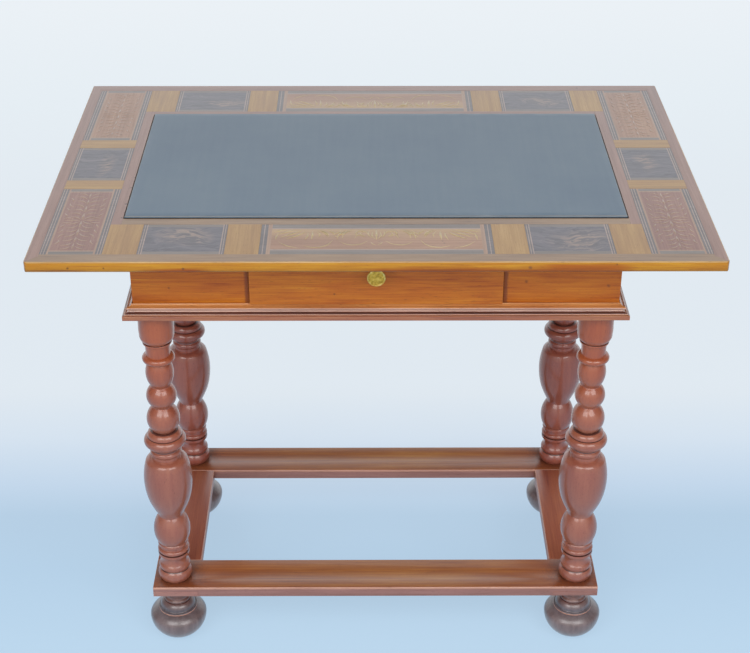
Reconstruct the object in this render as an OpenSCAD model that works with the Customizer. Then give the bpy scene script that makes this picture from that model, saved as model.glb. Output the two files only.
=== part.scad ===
// Money changer table: a slate top in a veneered border, one drawer, turned legs on a low stretcher frame.
// Units are millimetres. +Z is up and the front with the drawer faces -Y. The origin is on the floor, in
// the middle of the table.

/* [Table top] */
// Width of the top
top_w = 942; // [900:1:1100]
// Depth of the top
top_d = 630; // [600:1:760]
// Thickness of the top at its edge
top_t = 17; // [16:0.5:26]
// Width of the solid lipping round the top
lipping_w = 15; // [10:0.5:17]
// Radius of the lipping's lower edge
lipping_r = 6; // [2:0.5:9]
// Radius of the lipping's upper edge
arris_r = 2; // [0.5:0.1:3]
// Radius of the top's corners, seen from above
top_corner_r = 6; // [2:0.5:12]
// Thickness of the veneer and of the inlaid panels
veneer_t = 1.5; // [1:0.1:3]
// Clearance round each inlaid panel
inlay_gap = 0.1; // [0.05:0.05:0.3]

/* [Inlaid panels] */
// Width of the panels at the left and right
panel_w = 84; // [70:1:90]
// Depth of the panels at the front and back, between the corner panels
end_panel_w = 89; // [75:1:94]
// Border between the panels and the left and right edges
border_side = 17.5; // [17.5:0.5:30]
// Border between the panels and the front and back edges
border_end = 23; // [17.5:0.5:30]
// Length of each corner panel
corner_len = 204; // [150:1:212]
// Length of the burr panel at each side
side_burr_len = 117; // [80:1:140]
// Length of the long panel at the front and back
long_len = 318; // [260:1:340]
// Length of each burr panel at the front and back
end_burr_len = 117; // [80:1:140]

/* [Slate] */
// Thickness of the slate slab
slate_t = 9; // [6:0.5:10]
// Height of the slate above the veneer
slate_proud = 2.4; // [0:0.1:3]
// Gap between the slate and its bed at the sides and back
slate_gap = 1.6; // [0.5:0.1:3]
// Gap between the slate and its bed at the front
slate_gap_front = 3; // [0.5:0.1:4]
// Border between the slate and the side panels
slate_side = 16.5; // [8:0.5:30]
// Border between the slate and the front panels
slate_front = 21; // [8:0.5:40]
// Border between the slate and the back panels
slate_behind = 15; // [8:0.5:40]

/* [Frieze] */
// Width of the frieze box
box_w = 702; // [660:1:780]
// Depth of the frieze box
box_d = 381; // [340:1:440]
// Height of the frieze box
box_h = 137.5; // [120:0.5:170]
// Thickness of the frieze boards
board_t = 12; // [10:0.5:14]
// Width of the square corner posts
post_w = 42; // [40:0.5:50]
// Height of the rail under the drawer
rail_h = 22; // [22:0.5:28]
// Depth of the bearer behind that rail
bearer_d = 50; // [30:1:70]
// Thickness of the bearer and the runners
bearer_t = 18; // [12:0.5:20]
// Height of the base moulding
moulding_h = 22; // [20:0.5:22]
// Projection of the base moulding from the frieze
moulding_p = 14.5; // [13:0.5:18]
// Width of the glue blocks under the top
block_w = 20; // [14:1:24]
// Length of the glue blocks
block_len = 50; // [30:1:60]

/* [Drawer] */
// Width of the drawer front
drawer_w = 363.4; // [300:0.1:400]
// Gap round the drawer front
drawer_gap = 0.8; // [0.4:0.1:1.5]
// How far the drawer front stands out from the frieze
drawer_proud = 6; // [2:0.5:8]
// Thickness of the drawer front
drawer_front_t = 20; // [17:0.5:24]
// Thickness of the drawer sides and back
drawer_side_t = 10; // [8:0.5:12]
// Thickness of the drawer bottom
drawer_bottom_t = 6; // [4:0.5:8]
// Depth of the grooves for the drawer bottom
groove_d = 4; // [3:0.5:5]
// Height of the groove above the drawer sides' lower edges
groove_lift = 5; // [4:0.5:10]
// Step down from the drawer sides to the drawer back
back_drop = 8; // [0:0.5:20]
// Running clearance of the drawer on its strips
run_gap = 0.3; // [0.2:0.05:0.4]
// Clearance in the grooves and dovetails
joint_gap = 0.1; // [0.05:0.05:0.2]
// Number of dovetails at each end of the drawer front
tail_count = 3; // [2:1:4]
// Wood left in front of the dovetails
lap_t = 6; // [4:0.5:8]
// Width of each runner strip
runner_w = 30; // [24:1:36]
// Width of the guide along each runner
guide_w = 8; // [5:0.5:10]
// Height of the guide along each runner
guide_h = 16; // [10:1:24]
// Thickness of the kicker strips over the drawer sides
kicker_t = 12; // [8:0.5:16]
// Length of the drawer stops behind the drawer
stop_len = 17; // [12:0.5:30]
// Width and height of the drawer stops
stop_w = 24; // [16:1:30]

/* [Knob] */
// Radius of the knob's head
knob_r = 13.2; // [10:0.1:16]
// Distance of the knob's tip from the drawer front
knob_len = 27; // [22:0.5:30]
// Radius of the knob's shank
shank_r = 3; // [2:0.1:4]
// Clearance of the shank in the drawer front
shank_gap = 0.15; // [0.05:0.05:0.3]
// Width of the square nut on the shank
nut_w = 14; // [10:0.5:18]
// Thickness of the nut
nut_t = 4; // [3:0.5:6]

/* [Legs] */
// Height of the turned leg between the stretchers and the frieze
leg_h = 500; // [480:1:560]
// Distance of the leg's axis from the frieze's faces
leg_inset = 27; // [26.5:0.5:29]
// Radius of the cup under the frieze
cup_r = 26.1; // [24:0.1:28]
// Radius of the neck under the cup
neck_r = 18.8; // [16:0.2:20]
// Radius of the thin ring above the balls
ring_r = 24.4; // [22:0.2:27]
// Radius of the upper ball
upper_ball_r = 21.3; // [19:0.1:24]
// Radius of the middle ball
middle_ball_r = 23.1; // [21:0.1:26]
// Radius of the lower ball
lower_ball_r = 25.4; // [23:0.1:29]
// Radius of the large collar under the balls
collar_r = 32.2; // [30:0.1:36]
// Radius of the vase
vase_r = 37.4; // [34:0.1:42]
// Radius of the ball under the vase
foot_ball_r = 28.7; // [26:0.1:32]
// Radius of the base ring on the stretchers
base_r = 27; // [25:0.2:31]
// Radius of the round tenons
tenon_r = 12; // [9:0.5:12.5]
// Length of the tenon in the corner post
tenon_up = 60; // [40:1:90]
// Length of the tenon in the foot
tenon_down = 40; // [25:1:60]
// Clearance round the tenons
tenon_gap = 0.1; // [0.05:0.05:0.3]

/* [Stretchers] */
// Width of the stretcher boards
stretcher_w = 71.5; // [66:0.5:90]
// Thickness of the stretcher boards
stretcher_t = 17.5; // [14:0.5:24]
// Distance from the leg's axis to the stretchers' outer edges
stretcher_over = 33.5; // [30:0.5:40]
// Width of the chamfer along the stretchers' upper edges
stretcher_c = 1.2; // [0.5:0.1:2.5]

/* [Feet] */
// Height of the feet
foot_h = 98; // [90:1:120]
// Radius of the bun
foot_r = 45.5; // [40:0.5:52]
// Height of the bun's widest part
bun_z = 39.5; // [36:0.5:42]
// Radius of the flat face that stands on the floor
foot_base_r = 15; // [10:0.5:20]
// Radius of the step above the bun
step_r = 31.3; // [29:0.1:35]
// Radius of the foot's neck
foot_neck_r = 18.6; // [17:0.1:22]

/* [Hidden] */
$fn = 96;

// Colours of the woods, the slate and the metal
walnut = "#9A5A44";
pale_walnut = "#A8948A";
cherry = "#B5853F";
burr = "#7F7A80";
pine = "#B08A5E";
slate_grey = "#7B8C97";
brass = "#C8B45A";
iron = "#5A5A5A";

// How far a cutting shape runs past the faces that it opens
past = 1;

// Heights of the main levels
stretcher_top = foot_h + stretcher_t;
frieze_base = stretcher_top + leg_h;
frieze_top = frieze_base + box_h;
table_h = frieze_top + top_t;
rail_top = frieze_base + rail_h;
veneer_base = table_h - veneer_t;
slate_base = table_h + slate_proud - slate_t;

// Places in plan
leg_x = box_w / 2 - leg_inset;
leg_y = box_d / 2 - leg_inset;
inner_x = box_w / 2 - board_t;
inner_y = box_d / 2 - board_t;
post_x = inner_x - post_w;
post_y = inner_y - post_w;
core_w = top_w - 2 * lipping_w;
core_d = top_d - 2 * lipping_w;

// Each inlaid panel is [x, y, width, depth] with its middle at x, y
panel_x = top_w / 2 - border_side - panel_w / 2;
panel_y = top_d / 2 - border_end - end_panel_w / 2;
corner_y = top_d / 2 - border_end - corner_len / 2;
end_burr_x = (long_len / 2 + panel_x - panel_w / 2) / 2;
function corner_panel(sx, sy) = [sx * panel_x, sy * corner_y, panel_w, corner_len];
function long_panel(sy) = [0, sy * panel_y, long_len, end_panel_w];
function side_burr(sx) = [sx * panel_x, 0, panel_w, side_burr_len];
function end_burr(sx, sy) = [sx * end_burr_x, sy * panel_y, end_burr_len, end_panel_w];
inlays = concat(
    [for (sx = [-1, 1], sy = [-1, 1]) corner_panel(sx, sy)],
    [for (sx = [-1, 1], sy = [-1, 1]) end_burr(sx, sy)],
    [for (s = [-1, 1]) long_panel(s)],
    [for (s = [-1, 1]) side_burr(s)]);

// The slate's edges
slate_x = panel_x - panel_w / 2 - slate_side;
slate_y0 = -panel_y + end_panel_w / 2 + slate_front;
slate_y1 = panel_y - end_panel_w / 2 - slate_behind;

// The drawer: its sides run between the runners below and the kickers above
opening_x = drawer_w / 2 + drawer_gap;
drawer_x = drawer_w / 2 - run_gap;
drawer_in_x = drawer_x - drawer_side_t;
side_base = rail_top + run_gap;
side_h = frieze_top - kicker_t - run_gap - side_base;
front_face_y = -box_d / 2 - drawer_proud;
front_back_y = front_face_y + drawer_front_t;
drawer_end_y = inner_y - run_gap - stop_len;
front_z = rail_top + drawer_gap;
front_h = frieze_top - drawer_gap - front_z;
groove_z = side_base + groove_lift;
tail_len = drawer_front_t - lap_t;
tail_flare = 2.5;
runner_x = drawer_x + run_gap + guide_w;
knob_z = front_z + front_h / 2;

// Points of a circular arc from a to b that stands out from the chord by s, to the left of the way
function arc_to(a, b, s) =
    abs(s) < 0.01 ? [b] :
    let (chord = norm(b - a),
         r = (chord * chord / 4 + s * s) / (2 * abs(s)),
         along = (b - a) / chord,
         out = [-along[1], along[0]] * sign(s),
         half = asin(min(1, chord / 2 / r)),
         middle = (a + b) / 2 + out * (abs(s) - r),
         steps = max(2, ceil(half / 5)))
    [for (i = [1 : steps])
        let (t = -half + 2 * half * i / steps)
        middle + r * (sin(t) * along + cos(t) * out)];

// A turned outline from point p downwards: each row is a drop, the radius it ends at and its swell
function turned(p, rows, i = 0) =
    i == len(rows) ? [] :
    let (q = [rows[i][1], p[1] - rows[i][0]])
    concat(arc_to(p, q, rows[i][2]), turned(q, rows, i + 1));

// An outline through fixed points: each row is x, y and the swell of the stretch that leads to it
function traced(rows, i = 0) =
    i == len(rows) ? [] :
    let (q = [rows[i][0], rows[i][1]])
    concat(i == 0 ? [q] : arc_to([rows[i - 1][0], rows[i - 1][1]], q, rows[i][2]),
           traced(rows, i + 1));

function total(rows, i = 0) = i == len(rows) ? 0 : rows[i][0] + total(rows, i + 1);

// The swell that brings a stretch between radii r0 and r1 out to radius r at its middle
function swell(r, r0, r1) = r - (r0 + r1) / 2;

// The swell of a rounded edge of radius r
function rounding(r) = r * (1 - cos(45));

// Radii of the waists above and below the balls, and of the vase's neck
waist_r = [16.5, 15.3, 15.5, 17];
vase_neck_r = 19.5;

// How far the leg's top pad stands out beyond the cup
pad_over = 1.2;

// The leg from the frieze down to the vase: pad, cup, fillet, neck, ring, three balls, collar, bead
leg_upper = [
    [2.5, cup_r + pad_over, 0], [0.5, cup_r, 0], [27, cup_r + 0.2, 0], [13, cup_r - 0.2, 0.4],
    [10.5, neck_r + 3.8, 1.2], [1, neck_r + 1.4, 0], [1.4, neck_r + 1.4, 0], [0.6, neck_r + 2.9, 0],
    [2.2, neck_r + 2.9, 0.3], [0.8, neck_r + 0.2, 0], [20, neck_r - 0.3, -0.3],
    [0.5, ring_r - 4.4, 0], [10.5, ring_r - 3.9, 4.2], [1.5, waist_r[0], 0],
    [40.5, waist_r[1], swell(upper_ball_r, waist_r[0], waist_r[1])], [2.5, waist_r[1], -0.5],
    [34, waist_r[2], swell(middle_ball_r, waist_r[1], waist_r[2])], [2.5, waist_r[2], -0.5],
    [42.5, waist_r[3], swell(lower_ball_r, waist_r[2], waist_r[3])],
    [9.2, collar_r - 5.7, 3], [0.8, collar_r - 7, 0], [0.5, collar_r - 5.2, 0],
    [16, collar_r - 4.2, 4.7], [3, collar_r - 7.2, 0],
    [6, 21.5, -2], [0.5, 22.5, 0], [7.5, 22.5, 1.5], [1, 22, 0], [4, 22.3, 0], [2, 22.3, 0],
    [0.5, 23, 0]];

// The vase: shoulder, lower part and neck
vase_shoulder = [5.5, vase_r - 5, 1.6];
vase_lower = [[44, vase_r - 5.2, 1.8], [29, vase_neck_r, 0.6], [2, vase_neck_r, 0]];

// The leg from the vase down to the base ring: ball, fillet, bead, disc, hollow, bead
leg_lower = [
    [50, 24, swell(foot_ball_r, vase_neck_r, 24)], [1, 22.3, 0], [1.5, 23.8, 0], [4.5, 23.8, 0.3],
    [1, 21.5, 0], [5, 21.7, 0], [8, 22.5, 2.8], [0.5, 22, 0], [0.5, 24.6, 0], [5, 24.6, 0.3],
    [1, 22, 0], [14.5, 21.9, -1.8], [1, 22.6, 0], [10.5, 22.9, 2], [1, 22.3, 0]];
base_ring = [20.5, 22.5, swell(base_r, 22.3, 22.5)];

// The vase's widest part takes up what is left of the leg's height
vase_swell_h = leg_h - total(leg_upper) - vase_shoulder[0] - total(vase_lower) - total(leg_lower)
    - base_ring[0];
leg_rows = concat(
    leg_upper, [vase_shoulder], [[vase_swell_h, vase_r, 0.9]], vase_lower, leg_lower, [base_ring]);

// The foot from its top down to the bun: pad, neck, bead, dish, groove and rim
foot_rows = [
    [13.5, foot_neck_r + 2.4, 0.5], [1.5, foot_neck_r + 0.4, 0], [7, foot_neck_r, -0.8],
    [1, foot_neck_r + 1.2, 0], [4, foot_neck_r + 2.2, 0.8], [0.8, foot_neck_r + 1.8, 0],
    [10.5, step_r - 3.5, 2], [2.2, step_r - 2.7, -0.6], [0.4, step_r - 1.3, 0],
    [1.6, step_r - 0.4, 0.6], [1.2, step_r, 0]];
step_z = foot_h - total(foot_rows);

// Thickness of the base moulding's upper edge
moulding_edge = 1.5;

// The base moulding from its top down: distance from the frieze, height, swell
moulding_rows = [
    [moulding_edge, moulding_h, 0], [moulding_edge, moulding_h - 0.8, 0], [moulding_p - 7.7, moulding_h - 3.4, -0.8],
    [moulding_p - 7.3, moulding_h - 3.4, 0], [moulding_p - 6.9, moulding_h - 7.4, 1.8],
    [moulding_p - 8.5, moulding_h - 7.8, 0], [moulding_p - 4.9, moulding_h - 12.2, -1.6],
    [moulding_p - 4, moulding_h - 12.2, 0], [moulding_p - 4, moulding_h - 13.4, 0],
    [moulding_p - 1.3, moulding_h - 14.4, -0.4], [moulding_p, moulding_h - 15.1, 0.3],
    [moulding_p, 0.8, 0], [moulding_p - 0.8, 0, 0.2]];

// The lipping from its top down
lipping_rows = [
    [0, top_t, 0], [lipping_w - arris_r, top_t, 0], [lipping_w, top_t - arris_r, rounding(arris_r)],
    [lipping_w, lipping_r, 0], [lipping_w - lipping_r, 0, rounding(lipping_r)]];

// The knob from its face back to the rose: radius, distance from the drawer front, swell
knob_rows = [
    [0, knob_len - 0.6, 0], [knob_r - 2.4, knob_len - 0.6, 0], [knob_r - 1.8, knob_len, 0.1],
    [knob_r - 0.6, knob_len, 0], [knob_r, knob_len - 0.8, 0.1], [knob_r, knob_len - 2.4, 0],
    [knob_r - 1, knob_len - 4.5, 0.3], [7, knob_len - 13, 0.6], [4.6, 8, -0.6], [5.5, 3.2, -0.6],
    [knob_r - 5.2, 2.4, 0], [knob_r - 3.7, 1.2, 0.2], [knob_r - 3.7, 0, 0]];

module rounded_plate(w, d, r) {
    square([w - 2 * r, d], center = true);
    square([w, d - 2 * r], center = true);
    for (x = [-1, 1], y = [-1, 1])
        translate([x * (w / 2 - r), y * (d / 2 - r)])
            circle(r = r);
}

// A box between two corners
module block(low, high) {
    translate(low) cube(high - low);
}

// A moulding that runs along X and faces -Y, with its back at y = 0 and both ends mitred outwards.
// Its outline is drawn with the distance from the back as x and the height as y.
module mitred(back_len, reach, height) {
    difference() {
        translate([-back_len / 2 - reach, 0, 0])
            rotate([90, 0, 90])
                linear_extrude(back_len + 2 * reach)
                    mirror([1, 0]) children();
        for (side = [0, 1])
            mirror([side, 0, 0])
                translate([back_len / 2, 0, -past])
                    rotate([0, 0, -45])
                        cube([3 * reach, 3 * reach, height + 2 * past]);
    }
}

// The lipping on the side that is turned to face the front
module lipping(back_len, distance, turn) {
    color(cherry) intersection() {
        rotate([0, 0, turn])
            translate([0, -distance, frieze_top])
                mitred(back_len, lipping_w, top_t)
                    polygon(concat([[0, 0]], traced(lipping_rows)));
        translate([0, 0, frieze_top - past])
            linear_extrude(top_t + 2 * past)
                rounded_plate(top_w, top_d, top_corner_r);
    }
}

module lipping_front() { lipping(core_w, core_d / 2, 0); }
module lipping_back() { lipping(core_w, core_d / 2, 180); }
module lipping_left() { lipping(core_d, core_w / 2, -90); }
module lipping_right() { lipping(core_d, core_w / 2, 90); }

// The bed that holds the slate, cut from a level upwards
module slate_bed(z) {
    block([-slate_x - slate_gap, slate_y0 - slate_gap_front, z],
          [slate_x + slate_gap, slate_y1 + slate_gap, table_h + past]);
}

module top_core() {
    color(pine) difference() {
        block([-core_w / 2, -core_d / 2, frieze_top], [core_w / 2, core_d / 2, veneer_base]);
        slate_bed(slate_base);
    }
}

module top_veneer() {
    color(pale_walnut) difference() {
        block([-core_w / 2, -core_d / 2, veneer_base], [core_w / 2, core_d / 2, table_h]);
        slate_bed(veneer_base - past);
        for (p = inlays)
            block([p[0] - p[2] / 2 - inlay_gap, p[1] - p[3] / 2 - inlay_gap, veneer_base - past],
                  [p[0] + p[2] / 2 + inlay_gap, p[1] + p[3] / 2 + inlay_gap, table_h + past]);
    }
}

module slate_slab() {
    color(slate_grey)
        block([-slate_x, slate_y0, slate_base], [slate_x, slate_y1, slate_base + slate_t]);
}

module inlay(p) {
    block([p[0] - p[2] / 2, p[1] - p[3] / 2, veneer_base], [p[0] + p[2] / 2, p[1] + p[3] / 2, table_h]);
}

module corner_panel_node(sx, sy) { color(pale_walnut) inlay(corner_panel(sx, sy)); }
module long_panel_node(sy) { color(pale_walnut) inlay(long_panel(sy)); }
module side_burr_node(sx) { color(burr) inlay(side_burr(sx)); }
module end_burr_node(sx, sy) { color(burr) inlay(end_burr(sx, sy)); }

// Half of the frieze's front, beside the drawer
module frieze_front(side) {
    color(walnut) mirror([side < 0 ? 1 : 0, 0, 0])
        block([opening_x, -box_d / 2, rail_top], [box_w / 2, -inner_y, frieze_top]);
}

module frieze_side(side) {
    color(walnut) mirror([side < 0 ? 1 : 0, 0, 0])
        block([inner_x, -inner_y, frieze_base], [box_w / 2, inner_y, frieze_top]);
}

module frieze_back() {
    color(walnut) block([-box_w / 2, inner_y, frieze_base], [box_w / 2, box_d / 2, frieze_top]);
}

module drawer_rail() {
    color(walnut) block([-box_w / 2, -box_d / 2, frieze_base], [box_w / 2, -inner_y, rail_top]);
}

module drawer_bearer() {
    color(pine) block([-post_x, -inner_y, rail_top - bearer_t], [post_x, bearer_d - inner_y, rail_top]);
}

// A corner post, bored from below for the leg's tenon
module corner_post(sx, sy) {
    color(pine) difference() {
        translate([sx * (inner_x - post_w / 2), sy * (inner_y - post_w / 2), frieze_base + box_h / 2])
            cube([post_w, post_w, box_h], center = true);
        translate([sx * leg_x, sy * leg_y, frieze_base - past])
            cylinder(r = tenon_r + tenon_gap, h = past + tenon_up + past);
    }
}

module runner(side) {
    color(pine) mirror([side < 0 ? 1 : 0, 0, 0]) {
        block([runner_x - runner_w, bearer_d - inner_y, rail_top - bearer_t], [runner_x, inner_y, rail_top]);
        block([runner_x - guide_w, bearer_d - inner_y, rail_top - past],
              [runner_x, inner_y, rail_top + guide_h]);
    }
}

module kicker(side) {
    color(pine) mirror([side < 0 ? 1 : 0, 0, 0])
        block([runner_x - runner_w, front_back_y + 2 * past, frieze_top - kicker_t],
              [runner_x, inner_y, frieze_top]);
}

module drawer_stops() {
    color(pine) for (side = [-1, 1])
        translate([side * drawer_in_x / 2 - stop_w / 2, drawer_end_y + run_gap, front_z + front_h / 2])
            cube([stop_w, stop_len, stop_w]);
}

// Blocks glued into the angle between the frieze and the top
module glue_blocks() {
    between_x = (runner_x + post_x) / 2;
    color(pine) {
        for (x = [-between_x, between_x], y = [-inner_y, inner_y - block_w])
            block([x - block_w / 2, y, frieze_top - block_len],
                  [x + block_w / 2, y + block_w, frieze_top]);
        for (side = [0, 1], y = [-post_y / 2, post_y / 2])
            mirror([side, 0, 0])
                block([inner_x - block_w, y - block_w / 2, frieze_top - block_len],
                      [inner_x, y + block_w / 2, frieze_top]);
    }
}

module moulding(back_len, distance, turn) {
    color(walnut) rotate([0, 0, turn])
        translate([0, -distance, frieze_base])
            mitred(back_len, moulding_p, moulding_h)
                polygon(concat([[0, 0], [0, moulding_h]], traced(moulding_rows)));
}

module moulding_front() { moulding(box_w, box_d / 2, 0); }
module moulding_back() { moulding(box_w, box_d / 2, 180); }
module moulding_left() { moulding(box_d, box_w / 2, -90); }
module moulding_right() { moulding(box_d, box_w / 2, 90); }

module leg(sx, sy) {
    start = [cup_r + pad_over, frieze_base];
    color(walnut) translate([sx * leg_x, sy * leg_y, 0])
        rotate_extrude()
            polygon(concat(
                [[0, frieze_base + tenon_up], [tenon_r, frieze_base + tenon_up], [tenon_r, frieze_base],
                 start],
                turned(start, leg_rows),
                [[tenon_r, stretcher_top], [tenon_r, foot_h - tenon_down], [0, foot_h - tenon_down]]));
}

// A stretcher along X, chamfered along its upper edges
module stretcher_board(length) {
    edge = stretcher_w / 2;
    translate([-length / 2, 0, 0]) rotate([90, 0, 90]) linear_extrude(length)
        polygon([[-edge, 0], [edge, 0], [edge, stretcher_t - stretcher_c],
                 [edge - stretcher_c, stretcher_t], [stretcher_c - edge, stretcher_t],
                 [-edge, stretcher_t - stretcher_c]]);
}

// Holes for the legs' lower tenons
module tenon_holes() {
    for (sx = [-1, 1], sy = [-1, 1])
        translate([sx * leg_x, sy * leg_y, foot_h - past])
            cylinder(r = tenon_r + tenon_gap, h = stretcher_t + 2 * past);
}

// The front or back stretcher, whose lower half is cut away where it laps the side stretchers
module long_stretcher(side) {
    half_len = leg_x + stretcher_over;
    middle_y = side * (leg_y + stretcher_over - stretcher_w / 2);
    color(walnut) difference() {
        translate([0, middle_y, foot_h]) stretcher_board(2 * half_len);
        for (end = [0, 1])
            mirror([end, 0, 0])
                block([half_len - stretcher_w, middle_y - stretcher_w, foot_h - past],
                      [half_len + past, middle_y + stretcher_w, foot_h + stretcher_t / 2]);
        tenon_holes();
    }
}

// A side stretcher, whose upper half is cut away where it laps the front and back ones
module side_stretcher(side) {
    half_len = leg_y + stretcher_over;
    middle_x = side * (leg_x + stretcher_over - stretcher_w / 2);
    color(walnut) difference() {
        translate([middle_x, 0, foot_h]) rotate([0, 0, 90]) stretcher_board(2 * half_len);
        for (end = [0, 1])
            mirror([0, end, 0])
                block([middle_x - stretcher_w, half_len - stretcher_w, foot_h + stretcher_t / 2],
                      [middle_x + stretcher_w, half_len + past, stretcher_top + past]);
        tenon_holes();
    }
}

module foot(sx, sy) {
    upper_h = (step_z - bun_z) / sqrt(1 - pow(step_r / foot_r, 2));
    lower_h = bun_z / sqrt(1 - pow(foot_base_r / foot_r, 2));
    upper_from = asin((step_z - bun_z) / upper_h);
    lower_to = asin(bun_z / lower_h);
    steps = 9;
    top = [foot_neck_r + 3, foot_h];
    color(walnut) translate([sx * leg_x, sy * leg_y, 0])
        difference() {
            rotate_extrude()
                polygon(concat(
                    [[0, foot_h], top], turned(top, foot_rows),
                    [for (i = [1 : steps])
                        let (t = upper_from * (1 - i / steps))
                        [foot_r * cos(t), bun_z + upper_h * sin(t)]],
                    [for (i = [1 : steps])
                        let (t = lower_to * i / steps)
                        [foot_r * cos(t), bun_z - lower_h * sin(t)]],
                    [[0, 0]]));
            translate([0, 0, foot_h - tenon_down - past])
                cylinder(r = tenon_r + tenon_gap, h = tenon_down + 2 * past);
        }
}

// Dovetails in the Y-Z plane, made larger all round by a gap
module tails(gap) {
    pitch = side_h / tail_count;
    root = pitch * 0.28 + gap;
    tip = root + tail_flare;
    for (i = [0 : tail_count - 1])
        translate([front_back_y, side_base + pitch * (i + 0.5)])
            polygon([[past, -root], [0, -root], [-tail_len - gap, -tip], [-tail_len - gap, tip],
                     [0, root], [past, root]]);
}

module drawer_front() {
    color(walnut) difference() {
        block([-drawer_w / 2, front_face_y, front_z], [drawer_w / 2, front_back_y, front_z + front_h]);
        for (side = [0, 1])
            mirror([side, 0, 0])
                translate([drawer_in_x - joint_gap, 0, 0])
                    rotate([90, 0, 90])
                        linear_extrude(drawer_side_t + joint_gap + run_gap + past) tails(joint_gap);
        block([-drawer_in_x, front_back_y - groove_d, groove_z - joint_gap],
              [drawer_in_x, front_back_y + past, groove_z + drawer_bottom_t + joint_gap]);
        translate([0, front_face_y - past, knob_z])
            rotate([-90, 0, 0]) cylinder(r = shank_r + shank_gap, h = drawer_front_t + 2 * past);
    }
}

module drawer_side(side) {
    color(pine) mirror([side < 0 ? 1 : 0, 0, 0])
        difference() {
            union() {
                block([drawer_in_x, front_back_y, side_base], [drawer_x, drawer_end_y, side_base + side_h]);
                translate([drawer_in_x, 0, 0])
                    rotate([90, 0, 90]) linear_extrude(drawer_side_t) tails(0);
            }
            block([drawer_in_x - past, front_back_y, groove_z - joint_gap],
                  [drawer_in_x + groove_d, drawer_end_y + past, groove_z + drawer_bottom_t + joint_gap]);
        }
}

module drawer_back() {
    color(pine) block(
        [-drawer_in_x, drawer_end_y - drawer_side_t, groove_z + drawer_bottom_t],
        [drawer_in_x, drawer_end_y, side_base + side_h - back_drop]);
}

// The bottom fills the grooves of the sides, with a tongue in the groove of the front
module drawer_bottom() {
    edge_x = drawer_in_x + groove_d - joint_gap;
    color(pine) {
        block([-edge_x, front_back_y + joint_gap, groove_z],
              [edge_x, drawer_end_y, groove_z + drawer_bottom_t]);
        block([joint_gap - drawer_in_x, front_back_y - groove_d + joint_gap, groove_z],
              [drawer_in_x - joint_gap, front_back_y + past, groove_z + drawer_bottom_t]);
    }
}

// The knob: rose, neck, rimmed head and the threaded shank through the drawer front
module knob() {
    color(brass) translate([0, front_face_y, knob_z]) rotate([90, 0, 0]) {
        rotate_extrude() polygon(concat([[0, 0]], traced(knob_rows)));
        translate([0, 0, -drawer_front_t - nut_t - 2 * past])
            cylinder(r = shank_r, h = drawer_front_t + nut_t + 3 * past);
    }
}

module knob_nut() {
    color(iron) difference() {
        translate([0, front_back_y + nut_t / 2, knob_z]) cube([nut_w, nut_t, nut_w], center = true);
        translate([0, front_back_y - past, knob_z])
            rotate([-90, 0, 0]) cylinder(r = shank_r, h = nut_t + 2 * past);
    }
}

top_core();
lipping_front();
lipping_back();
lipping_left();
lipping_right();
top_veneer();
slate_slab();
corner_panel_node(-1, -1);  // corner_panel_front_left
corner_panel_node(1, -1);  // corner_panel_front_right
corner_panel_node(-1, 1);  // corner_panel_back_left
corner_panel_node(1, 1);  // corner_panel_back_right
long_panel_node(-1);  // long_panel_front
long_panel_node(1);  // long_panel_back
side_burr_node(-1);  // burr_panel_left
side_burr_node(1);  // burr_panel_right
end_burr_node(-1, -1);  // burr_panel_front_left
end_burr_node(1, -1);  // burr_panel_front_right
end_burr_node(-1, 1);  // burr_panel_back_left
end_burr_node(1, 1);  // burr_panel_back_right
frieze_front(-1);  // frieze_front_left
frieze_front(1);  // frieze_front_right
frieze_side(-1);  // frieze_left
frieze_side(1);  // frieze_right
frieze_back();
drawer_rail();
drawer_bearer();
corner_post(-1, -1);  // corner_post_front_left
corner_post(1, -1);  // corner_post_front_right
corner_post(-1, 1);  // corner_post_back_left
corner_post(1, 1);  // corner_post_back_right
runner(-1);  // runner_left
runner(1);  // runner_right
kicker(-1);  // kicker_left
kicker(1);  // kicker_right
drawer_stops();
glue_blocks();
moulding_front();
moulding_back();
moulding_left();
moulding_right();
leg(-1, -1);  // leg_front_left
leg(1, -1);  // leg_front_right
leg(-1, 1);  // leg_back_left
leg(1, 1);  // leg_back_right
long_stretcher(-1);  // stretcher_front
long_stretcher(1);  // stretcher_back
side_stretcher(-1);  // stretcher_left
side_stretcher(1);  // stretcher_right
foot(-1, -1);  // foot_front_left
foot(1, -1);  // foot_front_right
foot(-1, 1);  // foot_back_left
foot(1, 1);  // foot_back_right
drawer_front();
drawer_side(-1);  // drawer_side_left
drawer_side(1);  // drawer_side_right
drawer_back();
drawer_bottom();
knob();
knob_nut();
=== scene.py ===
# %% [markdown]
# # A money changer table
# This lesson dresses a packed construction of a small baroque table in its real surfaces: polished
# turned legs, a walnut frieze with a drawer, and a top of slate in a frame of marquetry.
# The construction is loaded first and never changed. Every new piece is fitted to it by its own sizes.

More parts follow.
